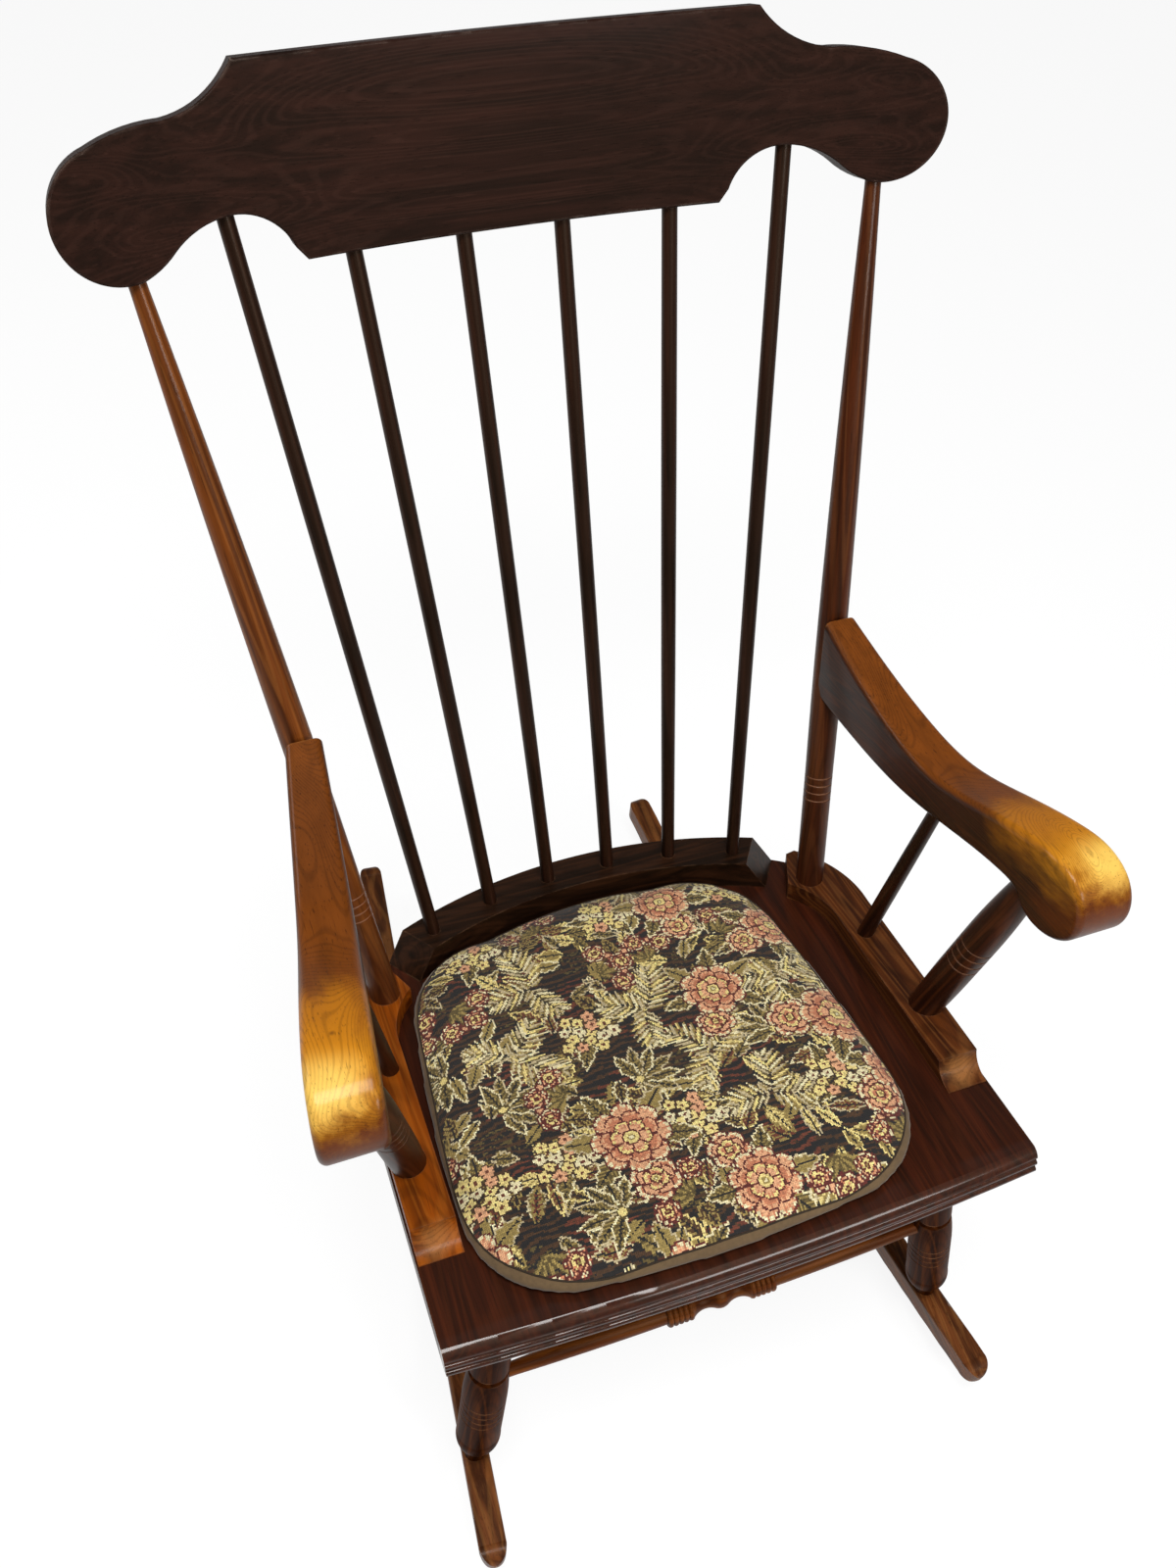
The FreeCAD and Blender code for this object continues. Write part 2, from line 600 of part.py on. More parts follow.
def seat_board():
    right, left = corner_arc(0.0, 1), corner_arc(0.0, -1)
    back = back_curve(0.0, SEAT_BACK_CORNER)
    front_v = -NOSE_REACH - FRONT_BOW - SPARE
    edges = [line(Vector(-half_seat, front_v, 0), Vector(half_seat, front_v, 0)),
             line(Vector(half_seat, front_v, 0), right[0]),
             arc(*right), arc(*back), arc(left[2], left[1], left[0]),
             line(left[0], Vector(-half_seat, front_v, 0))]
    plan = prism(edges, Vector(0, 0, SEAT_THICKNESS))
    plan.translate(Vector(0, 0, -SEAT_THICKNESS))
    # The moulded front edge is turned about a far centre, which bows it.
    radius = (half_seat ** 2 + FRONT_BOW ** 2) / (2 * FRONT_BOW)
    centre_v = radius - FRONT_BOW
    top, end_v = Vector(0, 0, 0), SEAT_DEPTH + SPARE
    outline = [line(Vector(0, end_v, 0), top)]
    nose = [Vector(0, -NOSE_REACH * 0.72, -NOSE_DROP * 0.28), Vector(0, -NOSE_REACH, -NOSE_DROP)]
    outline.append(arc(top, nose[0], nose[1]))
    here = nose[1]
    for count in range(REED_COUNT):
        there = here + Vector(0, -REED_LEAN, -REED_HEIGHT)
        belly = (here + there) * 0.5 + Vector(0, REED_DEPTH if count % 2 == 0 else -REED_DEPTH / 2, 0)
        outline.append(arc(here, belly, there))
        here = there
    lip = Vector(0, here.y + LIP_SETBACK, -SEAT_THICKNESS)
    end = Vector(0, end_v, -SEAT_THICKNESS)
    outline += [line(here, lip), line(lip, end), line(end, Vector(0, end_v, 0))]
    face = Part.Face(Part.Wire(outline))
    face.translate(Vector(0, -FRONT_BOW, 0))
    sweep = math.degrees(math.atan2(half_seat + SPARE, centre_v - SEAT_DEPTH))
    face.rotate(Vector(0, centre_v, 0), Vector(0, 0, 1), -sweep)
    moulded = face.revolve(Vector(0, centre_v, 0), Vector(0, 0, 1), 2 * sweep)
    board = plan.common(moulded)
    return board.Solids[0]


def side_rail():
    """Right rail: straight with a cove at its front, curving in at its tail."""
    outer_x = half_seat - RAIL_INSET
    inner_x = outer_x - SIDE_RAIL_WIDTH
    corner = corner_arc(RAIL_INSET, 1)
    big = prism([line(Vector(outer_x, SIDE_RAIL_FRONT, 0), corner[0]), arc(*corner),
                 line(corner[2], Vector(0, SEAT_SIDE_LENGTH, 0)),
                 line(Vector(0, SEAT_SIDE_LENGTH, 0), Vector(0, SIDE_RAIL_FRONT, 0)),
                 line(Vector(0, SIDE_RAIL_FRONT, 0), Vector(outer_x, SIDE_RAIL_FRONT, 0))],
                Vector(0, 0, SIDE_RAIL_HEIGHT))
    tail = Vector(inner_x - SIDE_RAIL_TAIL_IN, SIDE_RAIL_STRAIGHT + SIDE_RAIL_TAIL, 0)
    bend = Vector(inner_x - SIDE_RAIL_TAIL_IN / 4, SIDE_RAIL_STRAIGHT + SIDE_RAIL_TAIL * 0.55, 0)
    end = Vector(inner_x - SIDE_RAIL_END_IN, SIDE_RAIL_STRAIGHT + SIDE_RAIL_END, 0)
    far = Vector(half_seat + SPARE, SIDE_RAIL_STRAIGHT + SIDE_RAIL_END + SPARE / 3, 0)
    front = SIDE_RAIL_FRONT
    keep = prism([line(Vector(inner_x, front, 0), Vector(inner_x, SIDE_RAIL_STRAIGHT, 0)),
                  arc(Vector(inner_x, SIDE_RAIL_STRAIGHT, 0), bend, tail),
                  line(tail, end), line(end, far),
                  line(far, Vector(half_seat + SPARE, front, 0)),
                  line(Vector(half_seat + SPARE, front, 0), Vector(inner_x, front, 0))],
                 Vector(0, 0, SIDE_RAIL_HEIGHT))
    rail = big.common(keep)
    cove_top, above = SIDE_RAIL_FRONT + SIDE_RAIL_COVE, SIDE_RAIL_HEIGHT * 1.5
    toe = Vector(0, SIDE_RAIL_FRONT, SIDE_RAIL_TOE)
    middle = Vector(0, SIDE_RAIL_FRONT + SIDE_RAIL_COVE * 0.66, SIDE_RAIL_HEIGHT * 0.3)
    crown = Vector(0, cove_top, SIDE_RAIL_HEIGHT)
    corners = [Vector(0, cove_top, above), Vector(0, SIDE_RAIL_FRONT - SPARE, above),
               Vector(0, SIDE_RAIL_FRONT - SPARE, SIDE_RAIL_TOE)]
    cut = prism([arc(toe, middle, crown), line(crown, corners[0]), line(corners[0], corners[1]),
                 line(corners[1], corners[2]), line(corners[2], toe)],
                Vector(half_seat + SPARE, 0, 0))
    return rail.cut(cut).Solids[0]


def rear_rail():
    """Curved rail under the spindles, with sloping ends."""
    outer = back_curve(RAIL_INSET, SEAT_BACK_CORNER + SPARE / 2)
    inner = back_curve(RAIL_INSET + REAR_RAIL_WIDTH, SEAT_BACK_CORNER + SPARE / 2)
    ring = prism([arc(*outer), line(outer[2], inner[2]), arc(*reversed(inner)),
                  line(inner[0], outer[0])], Vector(0, 0, REAR_RAIL_HEIGHT))
    turn = math.radians(REAR_RAIL_END_TURN)
    fall = math.atan2(REAR_RAIL_END_SPREAD, REAR_RAIL_HEIGHT)
    end_v = rear_rail_v(REAR_RAIL_HALF_SPAN)
    for side in (-1, 1):
        normal = Vector(side * math.cos(turn) * math.cos(fall),
                        -math.sin(turn) * math.cos(fall), math.sin(fall))
        ring = ring.cut(half_space(Vector(side * REAR_RAIL_HALF_SPAN, end_v, REAR_RAIL_HEIGHT),
                                   normal))
    return ring.Solids[0]


def crest_rail():
    """Sawn crest: raised middle, round ears and an arch beside each ear."""
    def at(x, s, side):
        return Vector(side * x, 0, s)

    def ear(angle, side):
        a = math.radians(angle)
        return at(EAR_CENTRE + EAR_RADIUS * math.cos(a), EAR_HEIGHT + EAR_RADIUS * math.sin(a), side)

    edges = [line(at(CREST_CORNER, CREST_TOP, -1), at(CREST_CORNER, CREST_TOP, 1))]
    foot_x = ARCH_CENTRE - ARCH_HALF_WIDTH
    shoulder_x = CREST_CORNER + SHOULDER_RUN
    rise = CREST_TOP - CREST_SHOULDER
    for side in (1, -1):
        corner = at(CREST_CORNER, CREST_TOP, side)
        cove = at(CREST_CORNER + SHOULDER_RUN * 0.4, CREST_SHOULDER + rise * 0.35, side)
        shoulder = at(shoulder_x, CREST_SHOULDER, side)
        slope_middle = at((shoulder_x + EAR_CENTRE) / 2 + SHOULDER_HOLLOW * 3,
                          CREST_SHOULDER - SHOULDER_HOLLOW, side)
        ear_top, ear_low = ear(74.0, side), ear(-100.0, side)
        neck = at(ARCH_CENTRE + NECK_RUN, ARCH_TOP - NECK_DROP, side)
        crown = at(ARCH_CENTRE, ARCH_TOP, side)
        step = at(foot_x + STEP_RUN, CREST_BOTTOM + STEP_RISE, side)
        edges += [arc(corner, cove, shoulder), arc(shoulder, slope_middle, ear_top),
                  arc(ear_top, ear(-10.0, side), ear_low),
                  arc(ear_low, (ear_low + neck) * 0.5 + Vector(0, 0, -2.0), neck),
                  arc(neck, at(ARCH_CENTRE + NECK_RUN * 0.53, ARCH_TOP - NECK_DROP * 0.28, side),
                      crown),
                  arc(crown, at(ARCH_CENTRE - ARCH_HALF_WIDTH * 0.56, ARCH_TOP - NECK_DROP * 0.53,
                                side), step),
                  line(step, at(foot_x, CREST_BOTTOM, side))]
    edges.append(line(at(foot_x, CREST_BOTTOM, 1), at(foot_x, CREST_BOTTOM, -1)))
    outline = Part.Face(Part.Wire(Part.__sortEdges__(edges)))
    deep = 2 * half_seat
    board = outline.extrude(Vector(0, deep, 0))
    board.translate(Vector(0, -deep / 2, 0))
    tall = CREST_TOP - CREST_BOTTOM + 2 * SPARE
    base = Vector(0, -CREST_CURVE, CREST_BOTTOM - SPARE)
    shell = Part.makeCylinder(CREST_CURVE + CREST_THICKNESS, tall, base).cut(
        Part.makeCylinder(CREST_CURVE, tall, base))
    crest = board.common(shell).Solids[0]
    crest = rounded(crest, CREST_EDGE_ROUND, lambda edge: edge.Length > STEP_RISE
                    and not upright_edge(edge))
    crest.rotate(Vector(0, 0, 0), Vector(1, 0, 0), -CREST_LEAN)
    crest.translate(Vector(0, CREST_SETBACK, CREST_RISE))
    return crest


def upright_edge(edge):
    """Whether an edge runs through the crest's thickness."""
    a, b = edge.Vertexes[0].Point, edge.Vertexes[-1].Point
    return abs(a.x - b.x) < 2.5 and abs(a.z - b.z) < 0.01


def arm():
    """Right arm: a sawn side outline with a scroll, narrowing to the post."""
    def at(v, w):
        return Vector(0, v, w)

    def scroll(angle):
        a = math.radians(angle)
        return at(SCROLL_V + SCROLL_RADIUS * math.cos(a), SCROLL_W + SCROLL_RADIUS * math.sin(a))

    end_v = arm_end()
    dip = ARM_END_TOP - ARM_DIP_TOP
    run = end_v - ARM_DIP_V
    top_of_scroll = SCROLL_W + SCROLL_RADIUS
    swell = top_of_scroll - ARM_DIP_TOP
    flat = ARM_DIP_V - SCROLL_V
    outline = smooth([at(end_v, ARM_END_TOP),
                      at(end_v - run * 0.33, ARM_DIP_TOP + dip * 0.53),
                      at(end_v - run * 0.66, ARM_DIP_TOP + dip * 0.17),
                      at(ARM_DIP_V, ARM_DIP_TOP),
                      at(ARM_DIP_V - flat * 0.44, ARM_DIP_TOP + swell * 0.46),
                      at(ARM_DIP_V - flat * 0.8, ARM_DIP_TOP + swell * 0.93),
                      scroll(98.0), scroll(140.0), scroll(180.0), scroll(222.0), scroll(268.0),
                      scroll(305.0), at(ARM_NOTCH_V, ARM_NOTCH_W - 3.0),
                      at(ARM_NOTCH_V + 18.0, ARM_NOTCH_W),
                      at((ARM_NOTCH_V + ARM_UNDER_V) / 2, (ARM_NOTCH_W + ARM_UNDER_W) / 2 + 1.5),
                      at(ARM_UNDER_V, ARM_UNDER_W),
                      at((ARM_UNDER_V + end_v) / 2, (ARM_UNDER_W + ARM_END_UNDER) / 2 - 3.0),
                      at(end_v, ARM_END_UNDER)])
    side = prism([outline, line(at(end_v, ARM_END_UNDER), at(end_v, ARM_END_TOP))],
                 Vector(2 * SEAT_WIDTH, 0, 0))
    front_v, rear_v = SCROLL_V - SCROLL_RADIUS - SPARE / 2, end_v + SPARE / 2
    middle_v = (front_v + rear_v) / 2

    def plan_arc(sign):
        points = [Vector(ARM_FRONT_X + sign * ARM_FRONT_WIDTH / 2, front_v, 0),
                  Vector(ARM_MIDDLE_X + sign * ARM_MIDDLE_WIDTH / 2, middle_v, 0),
                  Vector(ARM_REAR_X + sign * ARM_REAR_WIDTH / 2, rear_v, 0)]
        return arc(*points), points[0], points[2]

    outer, outer_front, outer_rear = plan_arc(1)
    inner, inner_front, inner_rear = plan_arc(-1)
    plan = prism([outer, line(outer_rear, inner_rear), inner, line(inner_front, outer_front)],
                 Vector(0, 0, ARM_END_TOP * 2))
    solid = side.common(plan).Solids[0]
    return rounded(solid, ARM_EDGE_ROUND, lambda edge: edge.Length > end_v)


def runner():
    """Right runner: a bent bar with rounded edges, its tips worked to round noses."""
    half, edge, height = RUNNER_WIDTH / 2, RUNNER_EDGE_ROUND, RUNNER_HEIGHT

    def corner(side, level, first, last):
        """One rounded corner of the bar's section, between two angles."""
        x, z = side * (half - edge), edge if level == 0 else height - edge
        turns = [math.radians(a) for a in (first, (first + last) / 2, last)]
        return [Vector(x + edge * math.cos(a), RUNNER_REST_Y, z + edge * math.sin(a))
                for a in turns]

    corners = [corner(1, 0, -90, 0), corner(1, 1, 0, 90), corner(-1, 1, 90, 180),
               corner(-1, 0, 180, 270)]
    edges = []
    for here, following in zip(corners, corners[1:] + corners[:1]):
        edges += [arc(*here), line(here[2], following[0])]
    front = RUNNER_REST_Y - (RUNNER_REST_Y - RUNNER_FRONT_Y) / math.cos(runner_yaw())
    rear = RUNNER_REST_Y + (RUNNER_REAR_Y - RUNNER_REST_Y) / math.cos(runner_yaw())
    pivot = Vector(0, RUNNER_REST_Y, RUNNER_RADIUS)
    reach = max(RUNNER_REST_Y - front, rear - RUNNER_REST_Y) + 2 * RUNNER_NOSE
    sweep = math.degrees(math.asin(reach / RUNNER_RADIUS))
    section = Part.Face(Part.Wire(edges))
    section.rotate(pivot, Vector(1, 0, 0), sweep)
    bar = section.revolve(pivot, Vector(-1, 0, 0), 2 * sweep)

    def on_bar(y, above):
        return Vector(-RUNNER_WIDTH, y, arc_height(y - RUNNER_REST_Y, above))

    for end_y, inward in ((front, 1), (rear, -1)):
        low = on_bar(end_y + inward, -2.0)
        nose = on_bar(end_y - inward * RUNNER_NOSE, height * 0.4)
        brow = on_bar(end_y + inward * RUNNER_NOSE, height * 0.84)
        crown = on_bar(end_y + inward * (RUNNER_NOSE + RUNNER_TIP_TAPER) / 2, height * 0.97)
        top = on_bar(end_y + inward * RUNNER_TIP_TAPER, height + 0.6)
        away_y = end_y - inward * RUNNER_TIP_TAPER
        far_low, far_top = on_bar(away_y, -height), on_bar(away_y, 3 * height)
        bar = bar.cut(prism([arc(low, nose, brow), arc(brow, crown, top), line(top, far_top),
                             line(far_top, far_low), line(far_low, low)],
                            Vector(2 * RUNNER_WIDTH, 0, 0)))
        nose_y = end_y - inward * RUNNER_NOSE
        flank = smooth([Vector((half + 0.3) * math.cos(math.radians(a)),
                               nose_y + inward * RUNNER_TIP_ROUND
                               * (1 - math.sin(math.radians(a))), -height)
                        for a in range(0, 181, 30)])
        right, left = [Vector(side * (half + 0.3), nose_y + inward * RUNNER_TIP_ROUND, -height)
                       for side in (1, -1)]
        wide_right, wide_left = [Vector(p.x * 2, p.y, p.z) for p in (right, left)]
        far_right, far_left = [Vector(p.x, away_y, p.z) for p in (wide_right, wide_left)]
        bar = bar.cut(prism([flank, line(left, wide_left), line(wide_left, far_left),
                             line(far_left, far_right), line(far_right, wide_right),
                             line(wide_right, right)], Vector(0, 0, SEAT_FRONT_HEIGHT)))
    bar = bar.Solids[0]
    bar.rotate(Vector(0, RUNNER_REST_Y, 0), Vector(0, 0, 1), math.degrees(runner_yaw()))
    bar.translate(Vector(runner_x(RUNNER_REST_Y), 0, 0))
    return bar


def pad_outline(inset, w):
    """Closed outline of the seat pad at height w, drawn in by inset."""
    half = PAD_WIDTH / 2 - inset
    half_rear = half - PAD_TAPER
    front = PAD_FRONT_V + inset
    rear_radius = REAR_RAIL_MIDDLE - REAR_RAIL_WIDTH / 2 - PAD_REAR_GAP - inset

    def at(x, v):
        return Vector(PAD_SHIFT + x, v, w)

    def rear_at(x):
        return at(x, SEAT_BACK_CENTRE + math.sqrt(rear_radius ** 2 - (x + PAD_SHIFT) ** 2))

    def flank(side):
        """The right side from front to back, or the left one from back to front."""
        front_end, side_front = at(side * (half - PAD_FRONT_CORNER), front), at(
            side * half, front + PAD_FRONT_CORNER)
        rear_end = rear_at(side * (half_rear - PAD_REAR_CORNER))
        side_rear = at(side * half_rear, rear_end.y - PAD_REAR_CORNER)
        middle = (side_front + side_rear) * 0.5 + Vector(side * PAD_SIDE_BOW, 0, 0)
        runs = [(front_end, quarter(front_end, side_front, side), side_front),
                (side_front, middle, side_rear),
                (side_rear, quarter(side_rear, rear_end, side), rear_end)]
        return [arc(*run) for run in runs], front_end, rear_end

    right, right_front, right_rear = flank(1)
    left, left_front, left_rear = flank(-1)
    rear = arc(right_rear, rear_at(-PAD_SHIFT), left_rear)
    return Part.Wire([arc(left_front, at(0, front - PAD_BOW), right_front)] + right + [rear]
                     + left[::-1])


def quarter(a, b, side):
    """Middle of a quarter turn from a to b that bulges away from the pad."""
    chord = b - a
    outward = Vector(chord.y, -chord.x, 0) * side
    return (a + b) * 0.5 + outward * (math.sqrt(0.5) - 0.5)


def seat_cushion():
    """Thin pad: flat underneath, a rounded border and a crowned top."""
    border = [(PAD_DRAW_IN, 0.0), (PAD_DRAW_IN * 0.3, PAD_BORDER * 0.22), (0.0, PAD_BORDER * 0.5),
              (PAD_DRAW_IN * 0.3, PAD_BORDER * 0.8), (PAD_DRAW_IN, PAD_BORDER)]
    crown = [(PAD_DRAW_IN, PAD_BORDER), (14.0, PAD_BORDER + PAD_CROWN * 0.38),
             (34.0, PAD_BORDER + PAD_CROWN * 0.78), (54.0, PAD_BORDER + PAD_CROWN)]
    body, top = [Part.makeLoft([pad_outline(inset, PAD_GAP + w) for inset, w in levels],
                               True, False) for levels in (border, crown)]
    return body.fuse(top).Solids[0]


# Assembly

def build():
    """Every node by name, in the room's frame."""
    nodes = {}
    posts = {"back_post": back_post, "arm_post": arm_post, "arm_spindle": arm_spindle}
    sides = (("left", True), ("right", False))

    def both(piece):
        return [piece, mirrored(piece)]

    spindles = [(base * SPINDLE_BASE_SPAN, top * (ARCH_CENTRE + SPINDLE_TOP_OUTSET))
                for base, top in zip(SPINDLE_BASE_SHARES, SPINDLE_TOP_SHARES)]
    order = [(-b, -t) for b, t in reversed(spindles)] + spindles
    for count, (base_x, top_x) in enumerate(order, 1):
        nodes["back_spindle_%d" % count] = back_spindle(base_x, top_x)
    spindle_sockets = [back_spindle(b, t, FIT) for b, t in order]
    post_sockets = {name: both(make(FIT)) for name, make in posts.items()}
    screw_sockets = rail_screws(FIT)
    arm_screw_sockets = both(arm_screw(FIT))
    leg_sockets = both(leg(True, FIT)) + both(leg(False, FIT))

    # The seat board takes every tenon that stands on it or hangs from it.
    seat = tilt(seat_board())
    for tool in (spindle_sockets + screw_sockets + leg_sockets
                 + [s for pair in post_sockets.values() for s in pair]):
        seat = seat.cut(tool)
    nodes["seat_board"] = seat

    rail = tilt(side_rail())
    for tool in [pair[0] for pair in post_sockets.values()] + screw_sockets:
        rail = rail.cut(tool)
    rear = tilt(rear_rail())
    for tool in spindle_sockets + screw_sockets:
        rear = rear.cut(tool)
    nodes["rear_rail"] = rear

    crest = tilt(crest_rail())
    for tool in spindle_sockets + post_sockets["back_post"]:
        crest = crest.cut(tool)
    nodes["crest_rail"] = crest

    armrest = tilt(arm())
    for tool in [pair[0] for pair in post_sockets.values()] + [arm_screw_sockets[0]]:
        armrest = armrest.cut(tool)
    post = back_post().cut(arm_screw_sockets[0]).cut(screw_well())

    front_to_back = (on_leg(True, SIDE_STRETCHER_FRONT_LEVEL), on_leg(False, SIDE_STRETCHER_REAR_LEVEL))
    across = (on_leg(False, REAR_STRETCHER_LEVEL, -1), on_leg(False, REAR_STRETCHER_LEVEL, 1))
    side_socket = plain_stretcher(*front_to_back, FIT)
    front_leg = leg(True).cut(front_stretcher(FIT)).cut(side_socket)
    rear_leg = leg(False).cut(plain_stretcher(*across, FIT)).cut(side_socket)
    bar = runner().cut(leg_sockets[0]).cut(leg_sockets[2])

    pieces = {"side_rail": rail, "arm": armrest, "back_post": post, "arm_post": arm_post(),
              "arm_spindle": arm_spindle(), "front_leg": front_leg, "rear_leg": rear_leg,
              "runner": bar, "side_stretcher": plain_stretcher(*front_to_back)}
    for name, piece in pieces.items():
        for side, flip in sides:
            nodes["%s_%s" % (name, side)] = mirrored(piece) if flip else piece
    nodes["front_stretcher"] = front_stretcher()
    nodes["rear_stretcher"] = plain_stretcher(*across)
    nodes["rail_screws"] = Part.makeCompound(rail_screws())
    nodes["arm_screws"] = Part.makeCompound(both(arm_screw()))
    nodes["seat_cushion"] = tilt(seat_cushion())
    return nodes


def centred(nodes):
    """Moves the chair so that the origin is the middle of its footprint box."""
    boxes = [shape.optimalBoundingBox() for shape in nodes.values()]
    low = min(box.YMin for box in boxes)
    high = max(box.YMax for box in boxes)
    for shape in nodes.values():
        shape.translate(Vector(0, -(low + high) / 2, 0))
    return nodes


os.makedirs("parts", exist_ok=True)
for node, shape in sorted(centred(build()).items()):
    shape.exportStep("parts/%s.step" % node)
    print("%-18s solids %d volume %9.0f valid %s" % (node, len(shape.Solids), shape.Volume,
                                                    shape.isValid()))
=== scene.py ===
import math

import bpy
import numpy as np
from mathutils import Matrix, Quaternion, Vector
from mathutils.bvhtree import BVHTree


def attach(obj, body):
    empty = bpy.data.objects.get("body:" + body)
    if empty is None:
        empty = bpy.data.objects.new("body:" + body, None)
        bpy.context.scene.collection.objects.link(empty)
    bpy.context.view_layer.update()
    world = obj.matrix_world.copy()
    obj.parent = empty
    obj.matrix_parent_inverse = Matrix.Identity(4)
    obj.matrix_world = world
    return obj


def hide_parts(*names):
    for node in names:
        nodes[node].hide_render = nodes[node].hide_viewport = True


# A spindle-back rocking chair with a loose tapestry pad. Metres, +Z up, front towards -Y.
# The seat frame has x to the right, v backwards along the seat and w square to it.

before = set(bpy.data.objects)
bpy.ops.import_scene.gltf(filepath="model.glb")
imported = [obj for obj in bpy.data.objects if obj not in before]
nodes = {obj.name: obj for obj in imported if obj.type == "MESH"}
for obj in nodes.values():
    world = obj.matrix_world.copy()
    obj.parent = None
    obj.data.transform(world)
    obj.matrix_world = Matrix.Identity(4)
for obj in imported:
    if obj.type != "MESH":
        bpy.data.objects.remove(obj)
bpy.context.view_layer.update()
scene = bpy.context.scene

SEAT_SLOPE = math.radians(12.95)
SEAT_FRONT = Vector((0.0, -0.3114, 0.3828))
SEAT = Matrix.Translation(SEAT_FRONT) @ Matrix.Rotation(-SEAT_SLOPE, 4, "X")
BACKWARDS = SEAT.to_3x3() @ Vector((0, 1, 0))
UPWARDS = SEAT.to_3x3() @ Vector((0, 0, 1))
ACROSS = Vector((1, 0, 0))
MM = 0.001


def seat(x, v, w):
    """Room position of a point of the seat frame, given in millimetres."""
    return SEAT @ (Vector((x, v, w)) * MM)


def points_of(mesh):
    spots = np.empty(len(mesh.vertices) * 3)
    mesh.vertices.foreach_get("co", spots)
    return spots.reshape(-1, 3)


def set_points(mesh, spots):
    mesh.vertices.foreach_set("co", spots.ravel())
    mesh.update()


def smooth_shaded(mesh):
    mesh.polygons.foreach_set("use_smooth", [True] * len(mesh.polygons))


def evaluated(thing):
    """A new mesh of an object with its modifiers."""
    bpy.context.view_layer.update()
    graph = bpy.context.evaluated_depsgraph_get()
    return bpy.data.meshes.new_from_object(thing.evaluated_get(graph))


# Colours and shader nodes

def rgb(code):
    """Linear colour of a six-digit sRGB code."""
    parts = [int(code[i:i + 2], 16) / 255 for i in (0, 2, 4)]
    return [c / 12.92 if c < 0.04045 else ((c + 0.055) / 1.055) ** 2.4 for c in parts]


def darker(colour, share):
    return [c * share for c in colour]


class Graph:
    """Adds nodes to a material and links sockets by name."""

    def __init__(self, name):
        self.material = bpy.data.materials.new(name)
        self.material.use_nodes = True
        self.tree = self.material.node_tree
        self.shader = self.tree.nodes["Principled BSDF"]
        self.output = self.tree.nodes["Material Output"]

    def put(self, socket, value):
        if isinstance(value, bpy.types.NodeSocket):
            self.tree.links.new(value, socket)
        elif hasattr(socket.default_value, "__len__") and not isinstance(value, (int, float)):
            value = list(value)
            socket.default_value = value + [1.0] * (len(socket.default_value) - len(value))
        else:
            socket.default_value = value

    def add(self, kind, *inputs, out=0, **settings):
        node = self.tree.nodes.new("ShaderNode" + kind)
        named = settings.pop("named", {})
        for key, value in settings.items():
            setattr(node, key, value)
        for index, value in enumerate(inputs):
            if value is not None:
                self.put(node.inputs[index], value)
        for key, value in named.items():
            self.put(node.inputs[key], value)
        return node.outputs[out]

    def room(self):
        """Position in the object's own frame, which is the room's for a piece of the frame."""
        return self.add("TexCoord", out=3)

    def math(self, operation, *values):
        return self.add("Math", *values, operation=operation)

    def vector(self, operation, *values, out=0):
        return self.add("VectorMath", *values, operation=operation, out=out)

    def ramp(self, value, low, high):
        """Smooth 0 to 1 as value goes from low to high."""
        return self.add("MapRange", value, low, high, 0.0, 1.0, interpolation_type="SMOOTHSTEP")

    def mix(self, share, a, b, blend="MIX"):
        node = self.tree.nodes.new("ShaderNodeMix")
        node.data_type = "RGBA"
        node.blend_type = blend
        self.put(node.inputs["Factor"], share)
        self.put(node.inputs[6], a)
        self.put(node.inputs[7], b)
        return node.outputs[2]

    def noise(self, where, scale, detail=2.0, rough=0.5, distortion=0.0):
        return self.add("TexNoise", named={"Vector": where, "Scale": scale, "Detail": detail,
                                           "Roughness": rough, "Distortion": distortion})

    def bump(self, height, strength, distance):
        """Small relief on the surface."""
        relief = self.add("Bump", named={"Height": height, "Strength": strength, "Distance": distance})
        self.put(self.shader.inputs["Normal"], relief)


# Wood. A scale is in features per metre, and a stretch below 1 draws them out along the grain.

FIBRE_SCALE, FIBRE_STRETCH = 420.0, 0.035
STREAK_SCALE = 90.0
PORE_SCALE, PORE_STRETCH = 950.0, 0.022
TONE_SCALE = 5.0
GROWTH_SCALE, GROWTH_RINGS = 13.0, 120.0
FIGURE_SCALE, FIGURE_RINGS = 9.0, 420.0
SPOT_SCALE, SPOT_STRETCH = 60.0, 0.3
EDGE_PATCH_SCALE, EDGE_WIDTH = 70.0, 0.0022
LINE_CORE, LINE_FADE = 0.0003, 0.0009
NOSING_BACK, NOSING_FRONT = 0.006, -0.001
COAT_ROUGHNESS = 0.13
VARNISH_TINT = (1.0, 0.70, 0.48, 1.0)
END_SLICE = 0.0005


def grain_frame(start, along):
    """Rotation and shift that take the room to z along the grain, from start."""
    turn = along.normalized().rotation_difference(Vector((0, 0, 1)))
    return turn.to_euler(), -(turn @ start)


def turned_axis(node):
    """Lower or left end of a turned piece, and the way from there to its other end."""
    points = points_of(nodes[node].data)
    middle = points.mean(0)
    axis = np.linalg.svd((points - middle)[::7], full_matrices=False)[2][0]
    axis = axis * np.sign(axis[2] if abs(axis[2]) > 0.2 else axis[0])
    reach = (points - middle) @ axis
    low = points[reach < reach.min() + END_SLICE].mean(0)
    high = points[reach > reach.max() - END_SLICE].mean(0)
    return Vector(low), Vector(high - low)


